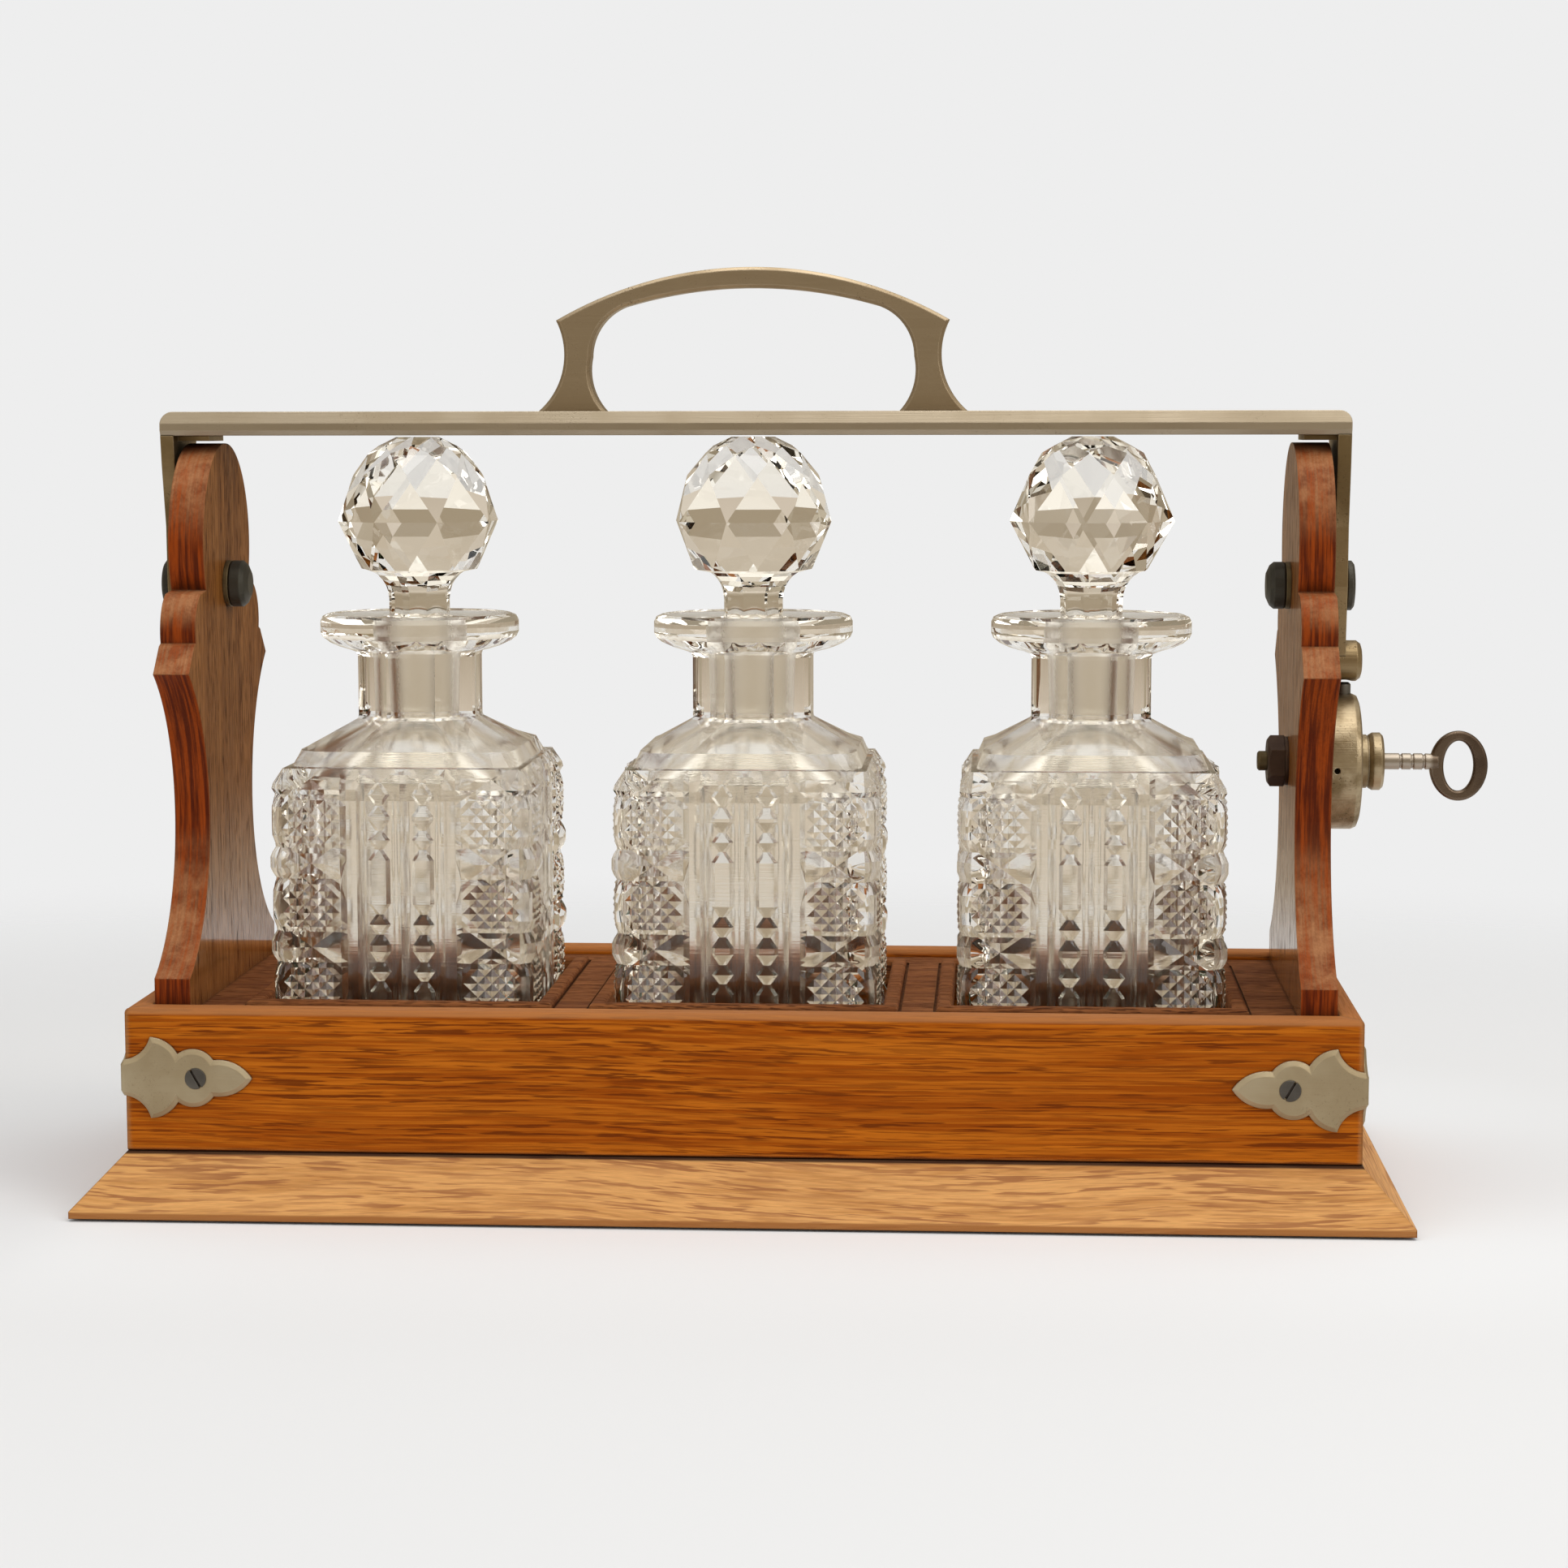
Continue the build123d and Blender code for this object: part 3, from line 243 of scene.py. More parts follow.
class Effects:
    """The node groups that more than one finish uses, each built once.

    The scales are those of the noise along and across the grain, per metre.
    """

    DRIFT = (3.5, 9.0, 9.0)
    BROAD_BANDS = (4.0, 170.0, 170.0)
    FINE_ALONG, FINE_ACROSS = 170.0, 900.0
    PORE_ROWS = (9.0, 330.0, 330.0)
    FIBRES = (40.0, 1900.0, 1900.0)
    SCRATCHES = (40.0, 2600.0, 2200.0)

    def __init__(self) -> None:
        """Builds every shared effect."""
        self.oak = self.oak_figure()
        self.edges = self.worn_edges()
        self.patina = self.patches()
        self.hollow_shade_and_dirt = self.crevice_shade_and_dirt()

    def oak_figure(self) -> Tree:
        """Growth bands, open pores and fibres of a board whose grain runs along X.

        Returns:
            A group that puts out Bands, Pores and Fibres.
        """
        g, given, out = start_group(
            "oak_figure", {"Vector": None, "Wander": 0.012, "Pore Share": 0.5,
                           "Pore Length": 6.0, "Pore Width": 0.48, "Fine Share": 0.5},
            ("Bands", "Pores", "Fibres"))
        place = given.outputs["Vector"]
        drift = g.noise(place, self.DRIFT, 2.0)
        push = g.math("MULTIPLY", g.math("SUBTRACT", drift, 0.5), given.outputs["Wander"])
        along = g.vector("ADD", place, g.join(0.0, push, push))
        broad = g.noise(along, self.BROAD_BANDS, 3.0, 0.55)
        slow = g.math("DIVIDE", self.FINE_ALONG, given.outputs["Pore Length"])
        spread = g.join(slow, self.FINE_ACROSS, self.FINE_ACROSS)
        fine = g.noise(g.vector("MULTIPLY", along, spread), 1.0, 3.0, 0.6)
        gap = g.math("SUBTRACT", fine, broad)
        bands = g.math("MULTIPLY_ADD", gap, given.outputs["Fine Share"], broad)
        down = g.math("DIVIDE", 1.0 / MM, given.outputs["Pore Length"])
        across = g.math("DIVIDE", 1.0 / MM, given.outputs["Pore Width"])
        dashes = g.noise(g.vector("MULTIPLY", along, g.join(down, across, across)), 1.0, 2.0)
        rows = g.ease(g.noise(along, self.PORE_ROWS, 2.0), 0.4, 0.6)
        sharp = g.ease(dashes, 0.5, 0.6)
        weight = g.math("MULTIPLY", sharp, g.math("MULTIPLY_ADD", rows, 0.6, 0.4))
        pores = g.math("MULTIPLY", weight, given.outputs["Pore Share"])
        fibres = g.noise(along, self.FIBRES, 3.0, 0.65)
        g.fill(out, Bands=bands, Pores=pores, Fibres=fibres)
        return g.tree

    def worn_edges(self) -> Tree:
        """Where a surface turns over an edge, and the softened normal there.

        Returns:
            A group that puts out a Mask and a Normal.
        """
        g, given, out = start_group(
            "worn_edges", {"Radius": 0.0006, "Vector": None, "Break Up": 0.4},
            ("Mask", "Normal"))
        bevel = g.fill(g.add("ShaderNodeBevel", samples=4), given.outputs["Radius"])
        flat = g.add("ShaderNodeNewGeometry")
        dot = g.vector("DOT_PRODUCT", bevel.outputs[0], flat.outputs["Normal"])
        bend = g.ease(g.math("SUBTRACT", 1.0, dot), 0.02, 0.2)
        rough = g.noise(given.outputs["Vector"], 90.0, 4.0, 0.6)
        breaks = g.math("MULTIPLY", g.math("SUBTRACT", 1.0, rough), given.outputs["Break Up"])
        mask = g.math("MAXIMUM", g.math("SUBTRACT", bend, breaks), 0.0)
        g.fill(out, Mask=mask, Normal=bevel.outputs[0])
        return g.tree

    def patches(self) -> Tree:
        """Clouded tone, small pits and fine scratches of old metal and polish.

        Returns:
            A group that puts out Cloud, Pits and Scratches.
        """
        g, given, out = start_group(
            "patina", {"Vector": None, "Size": 60.0, "Pit Share": 0.3},
            ("Cloud", "Pits", "Scratches"))
        place = given.outputs["Vector"]
        cloud = g.noise(place, given.outputs["Size"], 4.0)
        dots = g.noise(place, 1500.0, 2.0, 0.7)
        areas = g.ease(g.noise(place, 55.0, 3.0, 0.6), 0.45, 0.72)
        pits = g.math("MULTIPLY", g.ease(dots, 0.57, 0.72), areas)
        pits = g.math("MULTIPLY", pits, given.outputs["Pit Share"])
        scratches = g.noise(place, self.SCRATCHES, 2.0, 0.6)
        g.fill(out, Cloud=cloud, Pits=pits, Scratches=scratches)
        return g.tree

    def crevice_shade_and_dirt(self) -> Tree:
        """Where surfaces meet so closely that they shade each other: a mask for painted shade,
        and on metal for soiling as well.

        Returns:
            A group that puts out a Mask.
        """
        g, given, out = start_group("crevice_shade_and_dirt", {"Reach": 0.002}, ("Mask",))
        open_share = g.add("ShaderNodeAmbientOcclusion", samples=4)
        g.fill(open_share, Distance=given.outputs["Reach"])
        g.fill(out, Mask=g.ease(open_share.outputs["AO"], 0.3, 0.8, 1.0, 0.0))
        return g.tree


# ---- finishes


class Grain(Enum):
    """Which way a board's grain runs, as the turn that brings it onto X."""

    ACROSS = (0.0, 0.0, 0.0)
    DEEP = (0.0, 0.0, QUARTER)
    UPRIGHT = (0.0, QUARTER, 0.0)


@dataclass(frozen=True)
class Level:
    """A stretch of one axis, in metres, over which a piece has another colour."""

    low: float
    high: float
    tone: Colour
    share: float = 0.85
    soft: float = 0.0003
    axis: int = 2


@dataclass(frozen=True)
class Finish:
    """What every finish has: a name, and a way to start its material."""

    name: str

    def start(self) -> tuple[Material, Graph, Node, Socket]:
        """Starts the material.

        Returns:
            The material, its graph, its Principled shader and the object coordinate.
        """
        material = bpy.data.materials.new(self.name)
        material.use_nodes = True
        graph = Graph(material.node_tree)
        shader = material.node_tree.nodes["Principled BSDF"]
        place = graph.add("ShaderNodeTexCoord").outputs["Object"]
        return material, graph, shader, place

    def level_colour(self, g: Graph, place: Socket, level: Level, colour: Socket) -> Socket:
        """Lays another colour over one stretch of an axis.

        Args:
            g: The material's graph.
            place: The object coordinate.
            level: The stretch and its colour.
            colour: The colour so far.

        Returns:
            The new colour.
        """
        along = g.split(place)[level.axis]
        above = g.ease(along, level.low - level.soft, level.low + level.soft)
        below = g.ease(along, level.high + level.soft, level.high - level.soft)
        share = g.math("MULTIPLY", g.math("MULTIPLY", above, below), level.share)
        return g.blend(share, colour, level.tone)


@dataclass(frozen=True)
class Rim:
    """How the sawn and rounded edges of a board differ from its faces."""

    light: Colour
    dark: Colour
    # the colour of a painted sheen where the edges face up, and the least share of it in its
    # patches
    painted_sheen: Colour
    least_sheen: float = 0.15
    filled: float = 0.85


@dataclass(frozen=True)
class Oak(Finish):
    """Polished oak: banded colour, dark open pores and rubbed edges."""

    light: Colour
    dark: Colour
    pore: Colour
    rubbed: Colour
    grain: Grain = Grain.ACROSS
    pore_share: float = 0.6
    pore_length: float = 5.0
    pore_width: float = 0.48
    fine_share: float = 0.55
    gloss: float = 0.4
    shine: float = 0.25
    band_low: float = 0.36
    band_high: float = 0.64
    wander: float = 0.012
    wear: float = 0.5
    edge_radius: float = 0.0007
    # painted shade: the dark colour laid where surfaces meet closely, as in the joint under the
    # box and on the uprights' tops under the bar
    crevice_shade: Colour = (0.03, 0.010, 0.005)
    shade_and_dirt_share: float = 0.8
    crevice_shade_reach: float = 0.002
    rim: Rim | None = None
    levels: tuple[Level, ...] = ()
    slant: float = 0.0
    polish: float = 0.0
    polish_top: float = 0.1
    polish_fade: float = 0.025

    def rim_colour(self, g: Graph, place: Socket, colour: Socket) -> tuple[Socket, Socket]:
        """Colours the edges: red and streaked, with a painted sheen where they face up.

        Args:
            g: The material's graph.
            place: The object coordinate.
            colour: The faces' colour.

        Returns:
            The new colour and the share of edge in it.
        """
        facing = g.split(g.add("ShaderNodeTexCoord").outputs["Normal"])
        share = g.ease(g.math("ABSOLUTE", facing[0]), 0.75, 0.4)
        streaks = g.noise(place, (1000.0, 20.0, 45.0), 4.0, 0.6)
        patches = g.math("MULTIPLY_ADD", g.noise(place, 90.0, 4.0, 0.7), 0.6,
                         g.math("MULTIPLY", streaks, 0.4))
        cloud = g.ease(patches, 0.37, 0.63, self.rim.least_sheen, 1.0)
        # painted sheen: lighter in patches where the edges face up towards the overhead light
        upward = g.ease(facing[2], -0.02, 0.62, 0.04, 1.0)
        streaked = g.blend(g.ease(streaks, 0.36, 0.62), self.rim.light, self.rim.dark)
        edge = g.blend(g.math("MULTIPLY", cloud, upward), streaked, self.rim.painted_sheen)
        return g.blend(share, colour, edge), share

    def build(self, effects: Effects) -> Material:
        """Builds the material.

        Args:
            effects: The shared node groups.

        Returns:
            The finished material.
        """
        material, g, shader, place = self.start()
        turn = [a + b for a, b in zip(self.grain.value, (0.0, self.slant, self.slant))]
        along = g.stretch(place, (1.0, 1.0, 1.0), turn)
        oak = g.group(effects.oak, Vector=along, Wander=self.wander, Pore_Share=self.pore_share,
                      Pore_Length=self.pore_length, Pore_Width=self.pore_width,
                      Fine_Share=self.fine_share)
        bands = g.ease(oak.outputs["Bands"], self.band_low, self.band_high)
        colour = g.blend(bands, self.light, self.dark)
        pores = oak.outputs["Pores"]
        if self.rim is not None:
            colour, share = self.rim_colour(g, place, colour)
            open_share = g.math("MULTIPLY_ADD", share, -self.rim.filled, 1.0)
            pores = g.math("MULTIPLY", pores, open_share)
            low = g.ease(g.split(place)[2], self.polish_top + self.polish_fade,
                         self.polish_top - self.polish_fade, self.polish, 1.0)
            solid = g.math("SUBTRACT", 1.0, g.math("MAXIMUM", share, pores))
            g.fill(shader, Coat_Weight=g.math("MULTIPLY", low, solid), Coat_Roughness=0.1)
        fibre = g.ease(oak.outputs["Fibres"], 0.25, 0.75, 0.88, 1.08)
        shade = g.fill(g.add("ShaderNodeCombineColor"), fibre, fibre, fibre)
        colour = g.blend(1.0, colour, shade.outputs[0], "MULTIPLY")
        colour = g.blend(pores, colour, self.pore)
        worn = g.group(effects.edges, Radius=self.edge_radius, Vector=place, Break_Up=0.7)
        colour = g.blend(g.math("MULTIPLY", worn.outputs["Mask"], self.wear), colour, self.rubbed)
        for level in self.levels:
            colour = self.level_colour(g, place, level, colour)
        # painted shade: the colour is darkened where surfaces meet closely
        shade_and_dirt_mask = g.group(effects.hollow_shade_and_dirt, Reach=self.crevice_shade_reach).outputs["Mask"]
        colour = g.blend(g.math("MULTIPLY", shade_and_dirt_mask, self.shade_and_dirt_share), colour, self.crevice_shade)
        rough = g.math("MULTIPLY_ADD", pores, 0.25, self.gloss)
        rough = g.math("MULTIPLY_ADD", g.noise(place, 45.0), 0.12, rough)
        g.fill(shader, Base_Color=colour, Roughness=rough, Specular_IOR_Level=self.shine)
        height = g.math("SUBTRACT", g.math("MULTIPLY", oak.outputs["Fibres"], 0.25), pores)
        g.relief(shader, Strength=0.35, Distance=0.00025, Height=height,
                 Normal=worn.outputs["Normal"])
        return material


@dataclass(frozen=True)
class Metal(Finish):
    """Old metal: clouded colour, dark pits, fine scratches and bright rubbed edges."""

    body: Colour
    dull: Colour
    pit: Colour
    edge: Colour
    gloss: float = 0.34
    pit_share: float = 0.5
    wear: float = 0.4
    metallic: float = 1.0
    edge_radius: float = 0.0005
    relief: float = 0.0001
    shade_and_dirt_share: float = 0.6
    blotches: float = 38.0
    levels: tuple[Level, ...] = ()

    def build(self, effects: Effects) -> Material:
        """Builds the material.

        Args:
            effects: The shared node groups.

        Returns:
            The finished material.
        """
        material, g, shader, place = self.start()
        patina = g.group(effects.patina, Vector=place, Size=self.blotches,
                         Pit_Share=self.pit_share)
        cloud = g.ease(patina.outputs["Cloud"], 0.38, 0.66)
        colour = g.blend(cloud, self.body, self.dull)
        worn = g.group(effects.edges, Radius=self.edge_radius, Vector=place, Break_Up=0.5)
        mask = g.math("MULTIPLY", worn.outputs["Mask"], self.wear)
        colour = g.blend(mask, colour, self.edge)
        for level in self.levels:
            colour = self.level_colour(g, place, level, colour)
        colour = g.blend(patina.outputs["Pits"], colour, self.pit)
        # darker, in the pits' colour, where parts meet closely: soiling there, and painted shade
        # as well
        shade_and_dirt_mask = g.group(effects.hollow_shade_and_dirt, Reach=0.0012).outputs["Mask"]
        colour = g.blend(g.math("MULTIPLY", shade_and_dirt_mask, self.shade_and_dirt_share), colour, self.pit)
        rough = g.math("MULTIPLY_ADD", cloud, 0.14, self.gloss)
        rough = g.math("MULTIPLY_ADD", patina.outputs["Pits"], 0.3, rough)
        rough = g.math("MULTIPLY_ADD", patina.outputs["Scratches"], 0.1, rough)
        g.fill(shader, Base_Color=colour, Metallic=self.metallic, Roughness=rough)
        height = g.math("SUBTRACT", patina.outputs["Scratches"],
                        g.math("MULTIPLY", patina.outputs["Pits"], 2.0))
        g.relief(shader, Strength=0.3, Distance=self.relief, Height=height,
                 Normal=worn.outputs["Normal"])
        return material


@dataclass(frozen=True)
class Glass(Finish):
    """Clear lead glass, polished or ground, that lets lamp light through.

    Light that has turned more often than bounces inside it goes straight on.
    """

    tint: Colour
    smooth: float = 0.0
    ior: float = 1.5
    streak: float = 0.02
    bounces: float = 4.5

    def build(self, effects: Effects) -> Material:
        """Builds the material.

        Args:
            effects: The shared node groups.

        Returns:
            The finished material.
        """
        material, g, shader, place = self.start()
        patina = g.group(effects.patina, Vector=place, Size=45.0, Pit_Share=0.0)
        rough = g.ease(patina.outputs["Cloud"], 0.5, 0.75, self.smooth, self.smooth + self.streak)
        g.fill(shader, Base_Color=opaque(self.tint), IOR=self.ior, Transmission_Weight=1.0,
               Roughness=rough)
        g.relief(shader, Strength=0.2 if self.smooth else 0.05, Distance=0.0002,
                 Height=patina.outputs["Scratches" if self.smooth else "Cloud"])
        path = g.add("ShaderNodeLightPath")
        deep = g.math("GREATER_THAN", path.outputs["Ray Depth"], self.bounces)
        g.see_through(shader, g.math("MAXIMUM", path.outputs["Is Shadow Ray"], deep), self.tint)
        return material


@dataclass(frozen=True)
class Cloth(Finish):
    """Wool baize: short felted nap over a plain colour."""

    body: Colour
    nap: Colour

    def build(self, effects: Effects) -> Material:
        """Builds the material.

        Args:
            effects: The shared node groups.

        Returns:
            The finished material.
        """
        material, g, shader, place = self.start()
        patina = g.group(effects.patina, Vector=place, Size=220.0, Pit_Share=1.0)
        hairs = g.noise(place, (1900.0, 1400.0, 1700.0), 3.0, 0.7)
        colour = g.blend(g.ease(hairs, 0.35, 0.7), self.body, self.nap)
        colour = g.blend(g.math("MULTIPLY", patina.outputs["Cloud"], 0.4), colour, self.body)
        g.fill(shader, Base_Color=colour, Sheen_Weight=0.4,
               Roughness=g.math("MULTIPLY_ADD", hairs, 0.15, 0.85))
        g.relief(shader, Strength=0.6, Distance=0.0004, Height=hairs)
        return material


# ---- making pieces


def new_object(name: str, data: bpy.types.ID) -> Thing:
    """Adds an object to the scene.

    Args:
        name: Its name.
        data: Its mesh, camera or light.

    Returns:
        The object.
    """
    made = bpy.data.objects.new(name, data)
    bpy.context.scene.collection.objects.link(made)
    return made


def new_mesh(name: str, bm: Shape, materials: list[Material]) -> Thing:
    """Turns a bmesh into an object.

    Args:
        name: The object's name.
        bm: Its shape, in metres; it is freed here.
        materials: Its materials, in the order of their face indices.

    Returns:
        The object.
    """
    mesh = bpy.data.meshes.new(name)
    bm.to_mesh(mesh)
    bm.free()
    for material in materials:
        mesh.materials.append(material)
    return new_object(name, mesh)


def stand_glass(bm: Shape, node: str, materials: list[Material], limit: float,
                turn: float = 0.0) -> Thing:
    """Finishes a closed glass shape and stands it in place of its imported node.

    Args:
        bm: The shape, in millimetres about its own axis; it is freed here.
        node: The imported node, whose body it rides on.
        materials: Its materials, in the order of their face indices.
        limit: The angle in degrees past which an edge stays sharp.
        turn: How far it is turned about its axis, in radians.

    Returns:
        The new piece.
    """
    bmesh.ops.recalc_face_normals(bm, faces=bm.faces)
    soften(bm, limit)
    bmesh.ops.rotate(bm, verts=bm.verts, cent=(0, 0, 0), matrix=Matrix.Rotation(turn, 3, "Z"))
    low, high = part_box(node)
    middle = (low + high) / (2 * MM)
    bmesh.ops.translate(bm, vec=(middle.x, 0, 0), verts=bm.verts)
    bmesh.ops.scale(bm, vec=(MM, MM, MM), verts=bm.verts)
    piece = new_mesh(f"cut_{node}", bm, materials)
    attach(piece, node)
    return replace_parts(piece, node)


def whole(bm: Shape) -> list[object]:
    """Every point, edge and face of a shape."""
    return bm.verts[:] + bm.edges[:] + bm.faces[:]


def pull(bm: Shape, rim: Edges, place: Callable[[bmesh.types.BMVert], Vector],
         material: int) -> Edges:
    """Extrudes an open rim and moves its new points.

    Args:
        bm: The shape.
        rim: The rim's edges.
        place: Gives a new point's place.
        material: The new faces' material index.

    Returns:
        The new rim's edges.
    """
    made = bmesh.ops.extrude_edge_only(bm, edges=rim)["geom"]
    for part in made:
        if isinstance(part, bmesh.types.BMVert):
            part.co = place(part)
        elif isinstance(part, bmesh.types.BMFace):
            part.material_index = material
    return [e for e in made if isinstance(e, bmesh.types.BMEdge) and e.is_boundary]


def soften(bm: Shape, limit: float) -> None:
    """Shades a shape smooth except over its sharp edges.

    Args:
        bm: The shape.
        limit: The angle in degrees past which an edge stays sharp.
    """
    for face in bm.faces:
        face.smooth = True
    for edge in bm.edges:
        edge.smooth = edge.calc_face_angle(0.0) < math.radians(limit)


def dress(material: Material, *nodes: str) -> None:
    """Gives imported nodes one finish.

    Args:
        material: The finish.
        nodes: The nodes' names.
    """
    for node in nodes:
        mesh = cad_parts[node].data
        mesh.materials.clear()
        mesh.materials.append(material)


# ---- wooden stand


@dataclass
class Stand:
    """The plinth, box, deck and uprights, all of oak, and the baize under them."""

    effects: Effects

    def boards(self) -> None:
        """Dresses the plinth and box, each side with its own run of grain."""
        joint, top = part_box("box_front")[0].z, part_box("box_front")[1].z
        # painted shadow: a dark line where the box sits on the plinth
        joint_shadow = Level(joint - 0.0007, joint + 0.0006, (0.02, 0.004, 0.002), share=0.93)
        plinth = dict(light=(0.74, 0.375, 0.125), dark=(0.53, 0.235, 0.064),
                      pore=(0.33, 0.125, 0.046), rubbed=(0.72, 0.36, 0.12), pore_share=0.8,
                      pore_length=60.0, pore_width=1.05, fine_share=0.5, gloss=0.5, shine=0.15,
                      band_low=0.42, band_high=0.68, wander=0.03, slant=0.045,
                      # painted shade: the plinth is darker over its lowest few millimetres, where
                      # its lip stands
                      levels=(Level(-0.001, 0.0026, (0.36, 0.135, 0.035)), joint_shadow))
        box = dict(light=(0.53, 0.145, 0.008), dark=(0.33, 0.068, 0.002),
                   pore=(0.14, 0.026, 0.002), rubbed=(0.60, 0.28, 0.10), pore_share=0.85,
                   pore_length=16.0, pore_width=0.65, fine_share=0.75, band_low=0.38,
                   band_high=0.6, gloss=0.42, shine=0.05, edge_radius=0.0024, wear=1.2,
                   # a lighter band along the box's top edge: partly the rounded edge's rubbed
                   # wear, partly a painted highlight where that edge catches the light
                   levels=(joint_shadow, Level(top - 0.0016, top + 0.001, (0.46, 0.195, 0.07),
                                       share=0.7, soft=0.0005)))
        for kind, looks in (("plinth", plinth), ("box", box)):
            across = Oak(f"{kind}_oak_long", grain=Grain.ACROSS, **looks).build(self.effects)
            deep = Oak(f"{kind}_oak_end", grain=Grain.DEEP, **looks).build(self.effects)
            dress(across, f"{kind}_front", f"{kind}_back")
            dress(deep, f"{kind}_left", f"{kind}_right")
            if kind == "plinth":
                dress(across, "base_board")

    def top(self) -> None:
        """Dresses the deck, the beads round the wells and the dividers."""
        matt = Oak("deck_oak_matt", light=(0.29, 0.105, 0.033), dark=(0.15, 0.045, 0.013),
                   pore=(0.04, 0.012, 0.005), rubbed=(0.44, 0.21, 0.085), pore_share=0.8,
                   gloss=0.65, shine=0.1, grain=Grain.ACROSS, wear=0.8).build(self.effects)
        dress(matt, "deck", "divider_left", "divider_right")
        for number in (1, 2, 3):
            dress(matt, f"bead_frame_{number}")

    def uprights(self) -> None:
        """Dresses the shaped uprights: brown faces, and red, rubbed edges with a painted sheen
        where they face up.
        """
        # the third colour is a painted sheen of the overhead light, laid where the edges face up
        rim = Rim(light=(0.30, 0.050, 0.005), dark=(0.09, 0.011, 0.002),
                  painted_sheen=(0.42, 0.18, 0.075))
        for side, polish in (("left", 0.04), ("right", 0.32)):
            # the wide crevice reach paints shade on the uprights' tops under the bar
            shaped = Oak(f"upright_oak_{side}", light=(0.325, 0.125, 0.028),
                         dark=(0.205, 0.068, 0.011), pore=(0.035, 0.009, 0.003),
                         rubbed=(0.55, 0.26, 0.11), pore_share=0.8, pore_length=8.0,
                         pore_width=0.5, gloss=0.36, shine=0.05, grain=Grain.UPRIGHT, wear=0.6,
                         crevice_shade_reach=0.008, shade_and_dirt_share=0.7, rim=rim, polish=polish)
            dress(shaped.build(self.effects), f"upright_{side}")

    def cloth(self) -> None:
        """Dresses the baize under the plinth and on the floors of the wells."""
        baize = Cloth("baize_green", body=(0.02, 0.06, 0.03), nap=(0.05, 0.12, 0.06))
        dress(baize.build(self.effects), "base_baize", "well_pad_1", "well_pad_2", "well_pad_3")

    def build(self) -> None:
        """Dresses every part of the stand."""
        self.boards()
        self.top()
        self.uprights()
        self.cloth()


# ---- fittings


